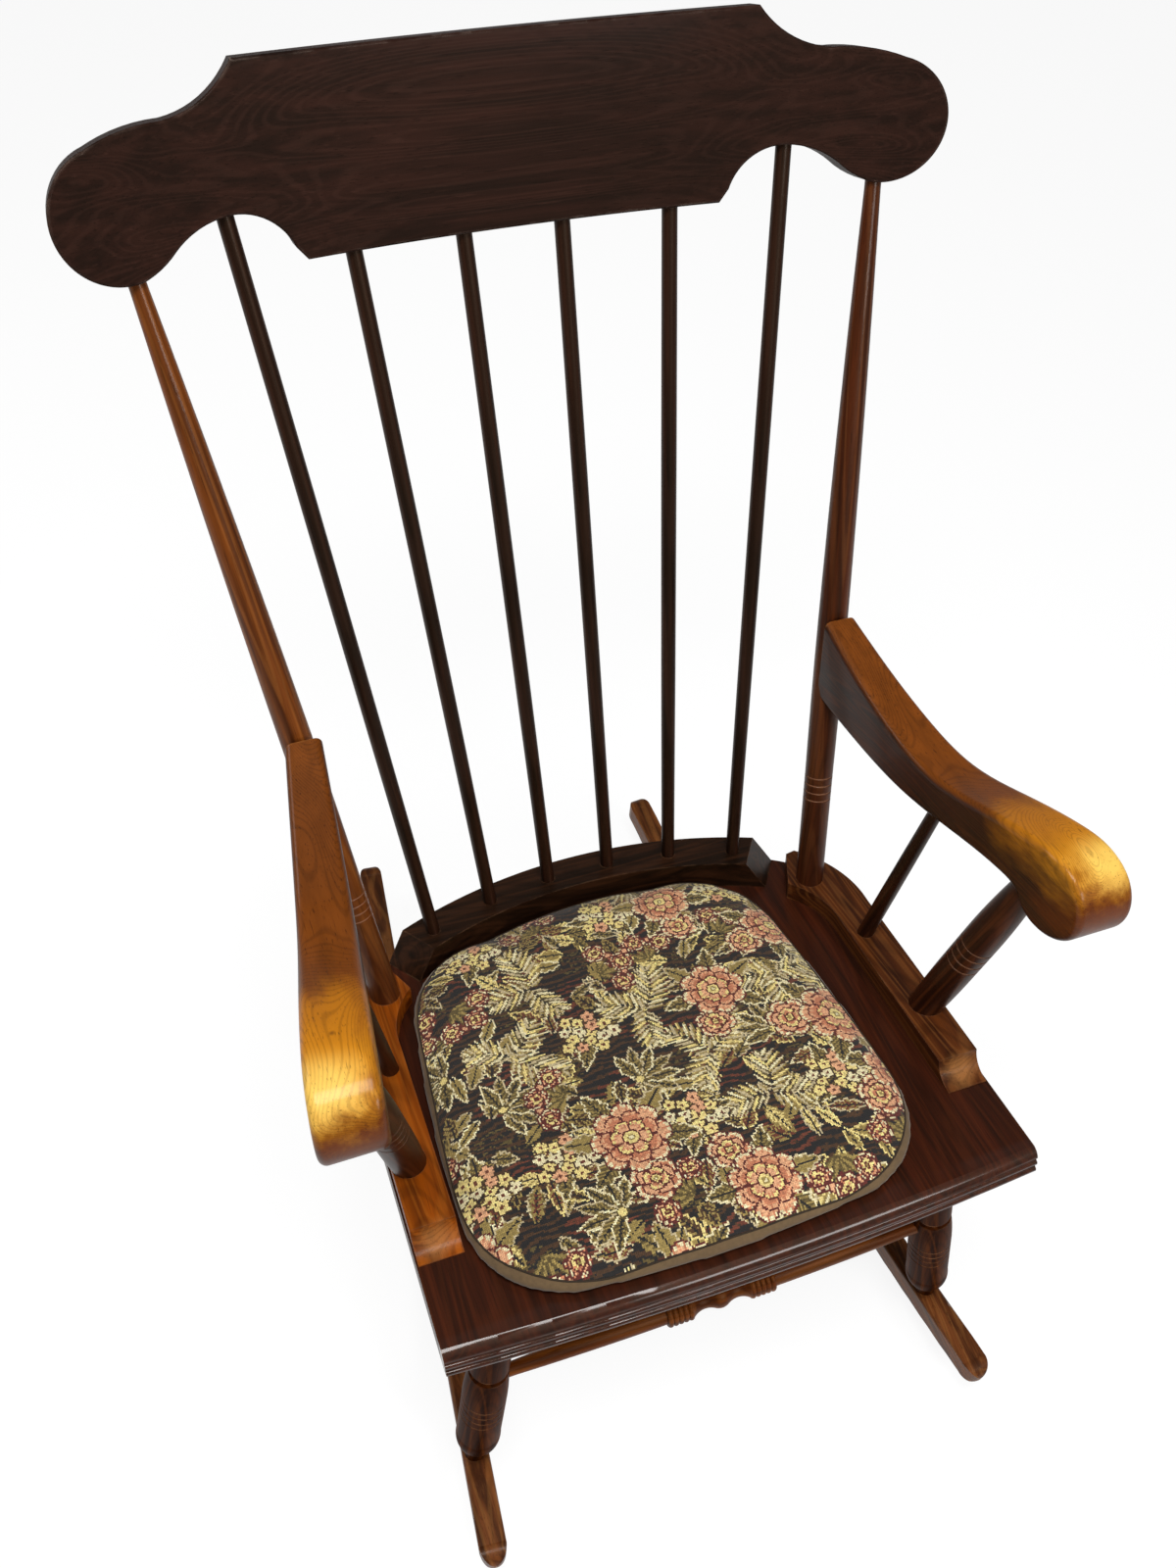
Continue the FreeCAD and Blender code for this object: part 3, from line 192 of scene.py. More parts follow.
class Wood(Graph):
    """Stained wood. Colours are laid one over another, from the stain to the wear, with painted light on
    faces that look up and a painted highlight on edges.
    """

    def __init__(self, name, stain, start, along, stretch, close):
        super().__init__(name)
        self.deep, self.mid, self.light = [rgb(code) for code in stain]
        turn, shift = grain_frame(start, along)
        self.place = self.room()
        self.local = self.add("Mapping", self.place, shift, turn, vector_type="POINT")
        self.broad = self.drawn_out(stretch)
        self.close = close
        long = self.drawn_out(FIBRE_STRETCH)
        self.fibres = self.noise(long, FIBRE_SCALE, 5.0, 0.62)
        self.streaks = self.noise(long, STREAK_SCALE, 3.0, 0.6)
        self.pores = self.ramp(self.noise(self.drawn_out(PORE_STRETCH), PORE_SCALE), 0.60, 0.72)
        self.colour = self.mix(self.ramp(self.streaks, 0.32, 0.68), self.deep, self.mid)

    def drawn_out(self, stretch):
        return self.vector("MULTIPLY", self.local, (1.0, 1.0, stretch))

    def lay(self, where, strength, paint):
        """Mixes a colour over what is there."""
        self.colour = self.mix(self.math("MULTIPLY", where, strength), self.colour, paint)

    def waves(self, field, count):
        """Wavy lines where a smooth field passes through even steps."""
        return self.math("SINE", self.math("MULTIPLY", field, count * self.close))

    def grain(self, rings):
        wander = self.noise(self.broad, GROWTH_SCALE, 2.0, 0.5, 0.6)
        self.lay(self.ramp(self.waves(wander, GROWTH_RINGS), -0.1, 1.0), rings, self.light)
        self.lay(self.ramp(self.fibres, 0.55, 0.8), 0.35, self.light)
        self.lay(self.ramp(self.noise(self.local, TONE_SCALE), 0.35, 0.7), 0.3, self.deep)

    def painted_top_light(self, code, strength):
        """Painted light from above: another colour on faces that look up from the seat."""
        facing = self.vector("DOT_PRODUCT", self.add("NewGeometry", out=1), tuple(UPWARDS), out=1)
        paint = self.mix(self.ramp(self.streaks, 0.3, 0.7), darker(rgb(code), 0.72), rgb(code))
        self.lay(self.ramp(facing, 0.25, 0.85), strength, paint)

    def worn_spot(self, point, radius, code, strength):
        away = self.vector("DISTANCE", self.place, tuple(point), out=1)
        uneven = self.noise(self.drawn_out(SPOT_STRETCH), SPOT_SCALE, 4.0, 0.6)
        uneven = self.math("MULTIPLY", self.math("SUBTRACT", uneven, 0.5), radius * 1.1)
        outside = self.ramp(self.math("ADD", away, uneven), radius * 0.25, radius * 1.1)
        self.lay(self.math("SUBTRACT", 1.0, outside), strength, rgb(code))

    def figure(self, rings):
        """Fine dark growth lines over every colour."""
        field = self.noise(self.broad, FIGURE_SCALE, 1.0, 0.4, 0.4)
        lines = self.ramp(self.waves(field, FIGURE_RINGS), 0.2, 1.0)
        dim = self.math("SUBTRACT", 1.0, self.math("MULTIPLY", lines, rings * 0.75))
        self.colour = self.mix(1.0, self.colour, self.add("CombineXYZ", dim, dim, dim), "MULTIPLY")

    def rubbed_and_highlit_edges(self, code, strength):
        # Lighter rounded edges: partly rubbed wear, partly a painted highlight where the edges catch the
        # light.
        rounded = self.add("Bevel", EDGE_WIDTH, samples=4)
        bend = self.vector("DOT_PRODUCT", rounded, self.add("NewGeometry", out=1), out=1)
        bend = self.ramp(self.math("SUBTRACT", 1.0, bend), 0.012, 0.10)
        patchy = self.ramp(self.noise(self.local, EDGE_PATCH_SCALE, 3.0, 0.6), 0.35, 0.65)
        self.lay(self.math("MULTIPLY", bend, patchy), strength, rgb(code))

    def incised_line(self, first, step, count):
        """1 on lines square to the grain, at first, first + step and so on."""
        turns = self.math("DIVIDE", self.math("SUBTRACT", self.height(), first), step)
        past = self.math("SUBTRACT", turns, self.math("ROUND", turns))
        near = self.math("MULTIPLY", self.math("ABSOLUTE", past), step)
        inside = self.math("MULTIPLY", self.math("GREATER_THAN", turns, -0.5),
                           self.math("LESS_THAN", turns, count - 0.5))
        return self.math("MULTIPLY", inside, self.math("SUBTRACT", 1.0, self.ramp(
            near, LINE_CORE, LINE_FADE)))

    def height(self):
        """Distance along the grain from the start."""
        return self.add("SeparateXYZ", self.local, out=2)

    def incised_lines(self, lines, code):
        marks = [self.incised_line(*line) for line in lines]
        total = marks[0]
        for mark in marks[1:]:
            total = self.math("MAXIMUM", total, mark)
        self.lay(total, 0.9, rgb(code))

    def varnish(self, rough, coat, gloss, front_coat):
        """The surface. front_coat is added on what lies before the start."""
        self.put(self.shader.inputs["Base Color"], self.colour)
        uneven = self.math("MULTIPLY", self.streaks, 0.16)
        self.put(self.shader.inputs["Roughness"], self.math("ADD", rough - 0.06, uneven))
        self.shader.inputs["Coat Weight"].default_value = coat
        if front_coat:
            ahead = self.ramp(self.height(), NOSING_BACK, NOSING_FRONT)
            both = self.math("MULTIPLY_ADD", ahead, front_coat, coat)
            self.put(self.shader.inputs["Coat Weight"], both)
        self.shader.inputs["Coat Roughness"].default_value = COAT_ROUGHNESS
        self.shader.inputs["Specular IOR Level"].default_value = gloss
        self.shader.inputs["Specular Tint"].default_value = VARNISH_TINT
        relief = self.math("SUBTRACT", self.math("MULTIPLY", self.fibres, 0.5),
                           self.math("MULTIPLY", self.pores, 0.8))
        self.bump(relief, 0.22, 0.0004)


def wood(name, stain, start, along, rings=0.35, lines=(), rough=0.42, coat=0.06, gloss=0.20,
         edge="7d5a41", edge_share=0.35, worn=(), top=None, stretch=0.07, scribe="9a6a4e",
         close=1.0, front_coat=None):
    """Material of one piece, with its grain along a direction from a start point.

    stain is the deep, middle and light colour. lines lists (first, step, count) of incised
    lines along the grain, in the colour scribe. Spots of another colour are listed as
    (point, radius, colour, share): wear, marks and a darker end. Upward faces may take
    another colour, given as (colour, share): painted light from above. edge is the colour
    of lighter edges: partly wear, partly painted highlight.
    """
    g = Wood(name, stain, start, along, stretch, close)
    g.grain(rings)
    # Painted light: faces that look up get another, lighter colour, standing in for the light from
    # above.
    if top:
        g.painted_top_light(*top)
    for spot in worn:
        g.worn_spot(*spot)
    g.figure(rings)
    g.lay(g.pores, 0.55, darker(g.deep, 0.35))
    # Lighter edges, partly wear and partly painted highlight.
    g.rubbed_and_highlit_edges(edge, edge_share)
    if lines:
        g.incised_lines(lines, scribe)
    g.varnish(rough, coat, gloss, front_coat)
    return g.material


def dress(node, material):
    mesh = nodes[node].data
    if not mesh.materials:
        mesh.materials.append(material)
    for index in range(len(mesh.materials)):
        mesh.materials[index] = material


def dress_in_wood(node, stain, start, along, **looks):
    dress(node, wood(node + "_wood", stain, start, along, **looks))


def dress_turning(node, stain, **looks):
    dress_in_wood(node, stain, *turned_axis(node), **looks)


# Stains, from deep to light. The left side of the chair is the more amber one.

ARM_STAIN = ("1e0b03", "3c1806", "64300f")
BACK_POST_STAINS = {"left": ("45200a", "7c3f10", "a4632c"), "right": ("2c1004", "50220a", "7c4824")}
ARM_POST_STAIN = ("200a04", "3e1a0a", "623216")
ARM_SPINDLE_STAIN = ("1c0a04", "341608", "542a12")
LEG_STAIN = ("280e03", "4a2208", "703a14")
SIDE_RAIL_STAINS = {"left": ("642d06", "984806", "b8661c"), "right": ("34170a", "5a2d10", "8c562a")}
RUNNER_STAIN = ("3c1d0c", "723e1c", "9c6533")
SIDE_STRETCHER_STAIN = ("1c0d06", "38200f", "543420")
STRETCHER_STAIN = ("4a2006", "7c3c0e", "a46024")
BACK_SPINDLE_STAIN = ("140a05", "28130a", "42261a")
CREST_STAIN = ("1a0f0c", "2b1813", "4a2f27")
SEAT_STAIN = ("240f08", "40190b", "5a2a12")
REAR_RAIL_STAIN = ("160b05", "2a160b", "462817")

# Incised lines: first line from the lower end, step and count

BACK_POST_LINES = [(0.140, 0.0083, 4)]
ARM_POST_LINES = [(0.127, 0.010, 4)]
LEG_LINES = [(0.106, 0.0098, 4), (0.185, 0.02, 1)]


def arm_wear(side, sign):
    """Varnish rubbed through to gold on the scroll, and on the left arm two dark marks and a dark rear.
    """
    spots = [(seat(sign * 306, 36, 254), 0.060, "6e3206", 0.85),
             (seat(sign * 309, 62, 292), 0.058, "dc9420", 0.85),
             (seat(sign * 312, 50, 286), 0.034, "f6ca62", 0.85),
             (seat(sign * 298, 108, 282), 0.056, "c07612", 0.8)]
    if side == "left":
        spots += [(seat(-296, 93, 285), 0.0035, "4a260c", 0.7),
                  (seat(-309, 34, 286), 0.0042, "5a3210", 0.6),
                  (seat(-284, 320, 262), 0.110, "5a2c0a", 0.55)]
    return spots


def dress_side(side, sign):
    """The pieces that the chair has once on each side."""
    # The arms' lighter tops are painted light from above; the gold on the scroll is wear.
    dress_in_wood("arm_" + side, ARM_STAIN, seat(sign * 280, 0, 240), BACKWARDS, rings=0.30,
                  top=("7c400e", 0.9), worn=arm_wear(side, sign), edge="a0652a", coat=0.16, close=2.6)
    back_post = "back_post_" + side
    # The back posts get darker towards their lower ends.
    dress_turning(back_post, BACK_POST_STAINS[side], lines=BACK_POST_LINES, rings=0.3, coat=0.14,
                  worn=[(turned_axis(back_post)[0], 0.20, "38180a", 0.6)])
    dress_turning("arm_post_" + side, ARM_POST_STAIN, lines=ARM_POST_LINES)
    dress_turning("arm_spindle_" + side, ARM_SPINDLE_STAIN)
    for end in ("front", "rear"):
        # The legs' incised lines are their own pale colour, made lighter still as a painted highlight.
        dress_turning("%s_leg_%s" % (end, side), LEG_STAIN, lines=LEG_LINES, coat=0.0, gloss=0.02,
                      scribe="c8906a")
    dress_in_wood("side_rail_" + side, SIDE_RAIL_STAINS[side], seat(sign * 250, 0, 0), BACKWARDS,
                  rings=0.3, worn=[(seat(sign * 249, 82, 12), 0.020, "a8703c", 0.6)])
    dress_in_wood("runner_" + side, RUNNER_STAIN, Vector((sign * 0.22, 0, 0)), Vector((0, 1, 0)),
                  rings=0.3)
    dress_turning("side_stretcher_" + side, SIDE_STRETCHER_STAIN)


def dress_middle():
    """The pieces that stand once, across the chair."""
    for number in range(1, 7):
        dress_turning("back_spindle_%d" % number, BACK_SPINDLE_STAIN, rings=0.25)
    # The crest's grey-brown edges are partly a painted highlight, partly lighter wood at the rounding.
    dress_in_wood("crest_rail", CREST_STAIN, Vector((0, 0.1, 0.9)), ACROSS, rings=0.13, edge="7a6a60",
                  edge_share=0.55, rough=0.48, coat=0.02, gloss=0.08, stretch=0.010, close=1.8)
    dress_in_wood("seat_board", SEAT_STAIN, seat(30, 0, 0), BACKWARDS, rings=0.2, edge="86614a",
                  edge_share=0.25, coat=0.10, front_coat=0.5)
    dress_in_wood("rear_rail", REAR_RAIL_STAIN, seat(0, 430, 0), ACROSS)
    for name in ("front_stretcher", "rear_stretcher"):
        dress_turning(name, STRETCHER_STAIN, rings=0.3, coat=0.0)


def screw_steel():
    g = Graph("screw_steel")
    scratch = g.noise(g.room(), 900.0, 3.0)
    g.put(g.shader.inputs["Base Color"], g.mix(scratch, rgb("6e6a62"), rgb("9c978c")))
    g.put(g.shader.inputs["Roughness"], g.math("ADD", 0.28, g.math("MULTIPLY", scratch, 0.2)))
    g.shader.inputs["Metallic"].default_value = 1.0
    return g.material


dress_side("left", -1)
dress_side("right", 1)
dress_middle()
steel = screw_steel()
dress("rail_screws", steel)
dress("arm_screws", steel)

# Camera, floor and light

CAMERA_PLACE = (-0.3240, -0.6225, 1.5092)
CAMERA_LENS, SENSOR_WIDTH, NEAREST = 31.5, 36.0, 0.01
VIEW_DOWN, VIEW_TURN, VIEW_ROLL = math.radians(52.151), math.radians(23.730), math.radians(5.327)
FLOOR_REACH, FLOOR_DROP = 6.0, 0.0005
FLOOR_SHADE, FLOOR_GLOW, GLOW_SHARE = 0.88, 1.08, 0.82
SKY, SKY_SEEN = 0.20, 0.82


def add_camera():
    camera = bpy.data.objects.new("camera", bpy.data.cameras.new("camera"))
    scene.collection.objects.link(camera)
    camera.data.sensor_width = SENSOR_WIDTH
    camera.data.lens = CAMERA_LENS
    camera.data.clip_start = NEAREST
    ahead = Vector((math.sin(VIEW_TURN) * math.cos(VIEW_DOWN),
                    math.cos(VIEW_TURN) * math.cos(VIEW_DOWN), -math.sin(VIEW_DOWN)))
    aim = ahead.to_track_quat("-Z", "Y") @ Quaternion((0, 0, 1), VIEW_ROLL)
    camera.matrix_world = Matrix.Translation(CAMERA_PLACE) @ aim.to_matrix().to_4x4()
    scene.camera = camera


def floor_white():
    """Matte white, which rays from the camera or seen in gloss or glass meet as nearly plain."""
    g = Graph("floor")
    g.tree.nodes.remove(g.shader)
    matte = g.add("BsdfDiffuse", (FLOOR_SHADE, FLOOR_SHADE, FLOOR_SHADE))
    glow = g.add("Emission", (1.0, 1.0, 1.0), FLOOR_GLOW)
    camera, glossy, through = [g.add("LightPath", out=index) for index in (0, 3, 6)]
    seen = g.math("MAXIMUM", g.math("MAXIMUM", camera, glossy), through)
    g.put(g.output.inputs[0], g.add("MixShader", g.math("MULTIPLY", seen, GLOW_SHARE), matte, glow))
    return g.material


def add_floor():
    mesh = bpy.data.meshes.new("floor")
    corners = [(x * FLOOR_REACH, y * FLOOR_REACH, 0) for x, y in ((-1, -1), (1, -1), (1, 1), (-1, 1))]
    mesh.from_pydata(corners, [], [(0, 1, 2, 3)])
    mesh.materials.append(floor_white())
    floor = bpy.data.objects.new("floor", mesh)
    floor.location.z = -FLOOR_DROP
    scene.collection.objects.link(floor)


def add_sky():
    """White all round, faint as light and bright where the camera sees it."""
    world = bpy.data.worlds.new("world")
    world.use_nodes = True
    scene.world = world
    tree = world.node_tree
    paths = tree.nodes.new("ShaderNodeLightPath")
    strength = tree.nodes.new("ShaderNodeMath")
    strength.operation = "MULTIPLY_ADD"
    strength.inputs[1].default_value = SKY_SEEN
    strength.inputs[2].default_value = SKY
    tree.links.new(paths.outputs[0], strength.inputs[0])
    background = tree.nodes["Background"]
    background.inputs[0].default_value = (1, 1, 1, 1)
    tree.links.new(strength.outputs[0], background.inputs[1])


def lamp(name, place, target, size, power):
    light = bpy.data.lights.new(name, "AREA")
    light.shape = "RECTANGLE"
    light.size, light.size_y = size
    light.energy = power
    thing = bpy.data.objects.new(name, light)
    aim = (Vector(target) - Vector(place)).to_track_quat("-Z", "Y")
    thing.matrix_world = Matrix.Translation(place) @ aim.to_matrix().to_4x4()
    scene.collection.objects.link(thing)


add_camera()
add_floor()
add_sky()
lamp("key", (-0.3, -0.5, 2.9), (0, 0, 0.4), (1.1, 0.7), 44)
lamp("front", (0.7, -1.7, 1.9), (0, 0, 0.4), (0.9, 0.6), 21)
lamp("rear", (-1.5, 1.0, 1.7), (0, 0, 0.6), (0.8, 0.8), 9)
scene.view_settings.view_transform = "Standard"

# The pad: a cushion blown up by cloth pressure, in the seat frame

PAD_GAP = 0.0004
PAD_VOXEL = 0.005
PAD_SHRINK = 0.003
PAD_PRESSURE, PAD_FRAMES = 4.0, 20
SWELL_LIMIT = 0.0055
BASE_HEIGHT = 0.0008
BAND_WIDTH = 0.0060
RIM_STEP, RIM_WINDOW, RIM_PASSES = 3, 2.0, 3
ABOVE_PAD, COVER_LIFT = 0.2, 0.0004


def add_modifier(thing, name, kind, **settings):
    modifier = thing.modifiers.new(name, kind)
    for key, value in settings.items():
        setattr(modifier, key, value)
    return modifier


def swell(thing):
    """Blows the mesh up as cloth, no point further than the limit. The base stays flat."""
    start = points_of(thing.data)
    settings = add_modifier(thing, "cloth", "CLOTH").settings
    settings.use_pressure = True
    settings.uniform_pressure_force = PAD_PRESSURE
    settings.effector_weights.gravity = 0.0
    for step in range(1, PAD_FRAMES + 1):
        scene.frame_set(step)
    move = points_of(evaluated(thing)) - start
    thing.modifiers.clear()
    size = np.linalg.norm(move, axis=1, keepdims=True)
    move *= np.minimum(1.0, SWELL_LIMIT / np.maximum(size, 1e-9))
    spots = start + move
    low = start[:, 2].min()
    spots[:, 2] = np.maximum(spots[:, 2], low)
    spots[:, 2] = np.where(start[:, 2] < low + BASE_HEIGHT, low, spots[:, 2])
    set_points(thing.data, spots)
    scene.frame_set(1)


def cushion(source):
    """Mesh of the pad's solid, remeshed, swollen by cloth pressure and smoothed."""
    mesh = source.copy()
    spots = points_of(mesh)
    middle = (spots.min(0) + spots.max(0)) / 2
    half = (spots.max(0) - spots.min(0)) / 2
    spots[:, :2] = middle[:2] + (spots[:, :2] - middle[:2]) * (1 - PAD_SHRINK / half[:2])
    set_points(mesh, spots)
    thing = bpy.data.objects.new("pad_body_draft", mesh)
    scene.collection.objects.link(thing)
    add_modifier(thing, "remesh", "REMESH", mode="VOXEL", voxel_size=PAD_VOXEL)
    thing.data = evaluated(thing)
    thing.modifiers.clear()
    swell(thing)
    add_modifier(thing, "smooth", "SMOOTH", factor=0.5, iterations=3)
    add_modifier(thing, "finer", "SUBSURF", levels=1)
    result = evaluated(thing)
    bpy.data.objects.remove(thing)
    spots = points_of(result)
    now = (spots.max(0) - spots.min(0)) / 2
    centre = (spots.max(0) + spots.min(0)) / 2
    spots[:, :2] = middle[:2] + (spots[:, :2] - centre[:2]) * (half / now)[:2]
    spots[:, 2] = np.maximum(spots[:, 2], PAD_GAP)
    set_points(result, spots)
    smooth_shaded(result)
    return result


def ring_of(mesh, inset):
    """The pad's middle, and the distance from it to the outline less inset, for any angle."""
    spots = points_of(mesh)[:, :2]
    middle = (spots.min(0) + spots.max(0)) / 2
    away = spots - middle
    turns = np.degrees(np.arctan2(away[:, 1], away[:, 0])) % 360.0
    reach = np.hypot(away[:, 0], away[:, 1])
    bins = np.arange(0, 360, RIM_STEP)
    rim = np.array([reach[np.abs((turns - b + 180) % 360 - 180) < RIM_WINDOW].max() for b in bins])
    for _ in range(RIM_PASSES):
        rim = (np.roll(rim, 1) + 2 * rim + np.roll(rim, -1)) / 4
    rim = rim - inset
    return middle, lambda angle: np.interp(np.degrees(angle) % 360.0, bins, rim, period=360.0)


def height_above(mesh):
    """Function that gives the height of a mesh's upper side at x and v."""
    tree = BVHTree.FromPolygons([tuple(p) for p in points_of(mesh)],
                                [tuple(f.vertices) for f in mesh.polygons])
    return lambda x, v: tree.ray_cast((x, v, ABOVE_PAD), (0, 0, -1))[0].z


# The woven cover: a grid of stitches, each in one yarn. Its sizes are in millimetres.

YARNS = [rgb(code) for code in (
    "1b1715", "4a3018", "6a3420", "5e4e26", "9c8548", "f2e4b4", "f4dc8c", "e8ac80", "c67c58", "5e2018",
    "cdbb90")]
COAL, UMBER, RUST, OLIVE, MOSS, CREAM, STRAW, PEACH, SALMON, WINE, STONE = range(len(YARNS))
STITCH = 1.5
WEAVE_SEED = 11
MOTIF_PITCH, MOTIF_JITTER = 66.0, 7.0
LEAF_COUNT = 430
LEAF_RIB_PITCH, LEAF_EDGE, LEAF_VEIN = 5.2, 1.7, 0.8
FERN_STEP, FERN_HALF, FERN_BEND = 5.0, 2.3, 0.35
PETAL_EDGE, PETAL_GAP = 2.8, 1.6
KINDS = ("fern", "palmette", "cluster", "sprig", "peony")


class Weave:
    """Stitches over a rectangle of the seat frame in millimetres, painted motif by motif."""

    def __init__(self, low, high, seed):
        self.rng = np.random.default_rng(seed)
        self.low = np.array(low)
        self.columns = np.arange(low[0], high[0], STITCH) + STITCH / 2
        self.rows = np.arange(low[1], high[1], STITCH) + STITCH / 2
        self.x, self.v = np.meshgrid(self.columns, self.rows)
        self.yarn = np.full(self.x.shape, COAL)
        self.ground()

    def swell(self, length, squash=1.0):
        """Smooth noise from about -1 to 1 with features of about the given length."""
        count = 7
        total = np.zeros(self.x.shape)
        for _ in range(count):
            turn = self.rng.uniform(0, math.tau)
            wave = math.tau / (length * self.rng.uniform(0.7, 1.5))
            total += np.sin(wave * (self.x * math.cos(turn) + self.v * squash * math.sin(turn))
                            + self.rng.uniform(0, math.tau))
        return total / math.sqrt(count)

    def ground(self):
        """Dark ground with short wavy dashes and russet patches."""
        bend = self.swell(40.0) * 2.2
        dashes = np.sin(self.v * math.tau / 7.5 + bend) + 0.5 * self.swell(9.0, squash=2.5)
        self.yarn[dashes > 0.30] = UMBER
        patch = self.swell(70.0)
        self.yarn[(dashes > 0.45) & (patch > 0.5)] = RUST
        self.yarn[(np.abs(dashes + 0.7) < 0.22) & (patch < -0.8)] = OLIVE

    def local(self, x, v, turn, reach):
        """Window around a point, with distances along and across a direction."""
        first = np.maximum(((np.array([x, v]) - reach - self.low) / STITCH).astype(int), 0)
        last = np.maximum(((np.array([x, v]) + reach - self.low) / STITCH).astype(int) + 1, 0)
        window = (slice(first[1], last[1]), slice(first[0], last[0]))
        dx, dv = self.x[window] - x, self.v[window] - v
        along = dx * math.cos(turn) + dv * math.sin(turn)
        across = dv * math.cos(turn) - dx * math.sin(turn)
        return self.yarn[window], along, across

    def leaf(self, x, v, turn, length, half, fill=OLIVE, edge=CREAM, vein=COAL, lobes=5):
        yarn, along, across = self.local(x, v, turn, length)
        share = np.clip(along / length, 0.0, 1.0)
        side = np.abs(across)
        width = half * np.sin(np.pi * share ** 0.8) * (1 + 0.13 * np.sin(share * lobes * math.tau))
        inside = side < width
        yarn[inside] = fill
        yarn[inside & (np.sin((along - side * 1.1) * math.tau / LEAF_RIB_PITCH) > 0.3)] = MOSS
        yarn[inside & (width - side < LEAF_EDGE)] = edge
        yarn[inside & (side < LEAF_VEIN) & (share < 0.86)] = vein

    def blade(self, x, v, turn, length, half, light=CREAM, dark=OLIVE):
        """A narrow leaflet, light on one flank and dark on the other."""
        yarn, along, across = self.local(x, v, turn, length)
        share = np.clip(along / length, 0.0, 1.0)
        across = across - 0.10 * length * share ** 2
        inside = np.abs(across) < half * np.sin(np.pi * share ** 0.7)
        yarn[inside] = light
        yarn[inside & (across < -half * 0.15)] = dark

    def fern(self, x, v, turn, length):
        """Pairs of blades along a bent stem, longest near its middle."""
        count = int(length / FERN_STEP)
        for step in range(count):
            share = (step + 0.5) / count
            bend = turn + FERN_BEND * share
            px, pv = x + math.cos(bend) * length * share, v + math.sin(bend) * length * share
            size = length * 0.46 * math.sin(math.pi * (0.16 + 0.78 * share)) + 4.0
            light = (STONE, CREAM, STRAW)[step % 3]
            for side, dark in ((-1, MOSS), (1, OLIVE)):
                self.blade(px, pv, bend + side * (1.05 - 0.45 * share), size, FERN_HALF, light, dark)

    def palmette(self, x, v, turn, size):
        """A fan of leaves from one point."""
        count = 7
        for step in range(count):
            spread = (step - (count - 1) / 2) * 0.52
            self.leaf(x, v, turn + spread, size * (1.0 - 0.06 * abs(spread) ** 2), size * 0.17,
                      OLIVE, STONE if step % 2 else CREAM, COAL, 3)
        self.dot(x, v, size * 0.12, STRAW, OLIVE)

    def dot(self, x, v, radius, fill, edge):
        yarn, along, across = self.local(x, v, 0.0, radius + 2)
        away = np.hypot(along, across)
        yarn[away < radius] = edge
        yarn[away < radius - STITCH] = fill

    def flower(self, x, v, radius, petals=8, outer=PEACH, inner=SALMON):
        """Layers of scalloped petals around a pale heart."""
        yarn, along, across = self.local(x, v, self.rng.uniform(0, 1), radius * 1.3)
        away, turn = np.hypot(along, across), np.arctan2(across, along)
        for share, number, shift, fill, tip in ((1.0, petals, 0.0, outer, CREAM),
                                                (0.74, petals - 1, 0.4, inner, PEACH),
                                                (0.50, petals - 2, 0.9, outer, STRAW)):
            wave = np.abs(np.cos((turn + shift) * number / 2))
            rim = radius * share * (0.80 + 0.24 * wave ** 0.6)
            inside = away < rim
            fold = np.sin((turn + shift) * number * 4) > 0.72
            yarn[inside] = fill
            yarn[inside & (rim - away < PETAL_EDGE)] = tip
            yarn[inside & fold & (rim - away < radius * 0.2)] = inner
            yarn[inside & (wave < 0.22) & (away > radius * (share - 0.3))] = WINE
            yarn[(rim <= away) & (away < rim + PETAL_GAP)] = WINE
        self.dot(x, v, radius * 0.24, STRAW, WINE)
        self.dot(x, v, radius * 0.10, CREAM, MOSS)

    def floret(self, x, v, radius, fill):
        """A small flower of five petals."""
        yarn, along, across = self.local(x, v, self.rng.uniform(0, 2), radius + 2)
        away, turn = np.hypot(along, across), np.arctan2(across, along)
        rim = radius * (0.62 + 0.38 * np.abs(np.cos(turn * 5 / 2)))
        yarn[away < rim + 1.3] = UMBER
        yarn[away < rim] = fill
        yarn[away < radius * 0.26] = RUST

    def cluster(self, x, v, radius):
        """Florets on a spiral."""
        count = 15
        for step in range(count):
            turn, away = step * 2.4, radius * math.sqrt((step + 0.5) / count)
            self.floret(x + away * math.cos(turn), v + away * math.sin(turn) * 0.85,
                        self.rng.uniform(5.5, 7.5), (STRAW, CREAM, STRAW, PEACH)[step % 4])

    def peony(self, x, v, radius, turn):
        """A large flower over its leaves, with a smaller one beside it."""
        for step in range(6):
            way = turn + step * math.tau / 6 + self.rng.uniform(-0.25, 0.25)
            start = radius * 0.6
            self.leaf(x + start * math.cos(way), v + start * math.sin(way), way, radius * 1.25,
                      radius * 0.30, (OLIVE, MOSS)[step % 2], (CREAM, STONE)[step % 2])
        side, away = turn + 0.9, radius * 1.35
        self.flower(x + away * math.cos(side), v + away * math.sin(side), radius * 0.6, 6, SALMON, PEACH)
        self.flower(x, v, radius)

    def sprig(self, x, v, turn):
        """A stem of small flowers and berries."""
        for step in range(5):
            way = turn + (step - 2) * 0.5
            self.blade(x, v, way, 26.0, 2.6, MOSS, OLIVE)
            px, pv = x + 27.0 * math.cos(way), v + 27.0 * math.sin(way)
            if step % 2:
                self.dot(px, pv, 4.2, PEACH, WINE)
            else:
                self.flower(px, pv, 10.5, 6, (PEACH, CREAM, SALMON)[step % 3])

    def scattered_leaves(self):
        rng = self.rng
        for _ in range(LEAF_COUNT):
            x = rng.uniform(self.columns[0], self.columns[-1])
            v = rng.uniform(self.rows[0], self.rows[-1])
            turn = rng.uniform(0, math.tau)
            length, half = rng.uniform(24, 40), rng.uniform(5.5, 8.5)
            fill = (OLIVE, MOSS, UMBER, STRAW, RUST)[rng.integers(5)]
            edge = (CREAM, STONE, STRAW, MOSS)[rng.integers(4)]
            self.leaf(x, v, turn, length, half, fill, edge)

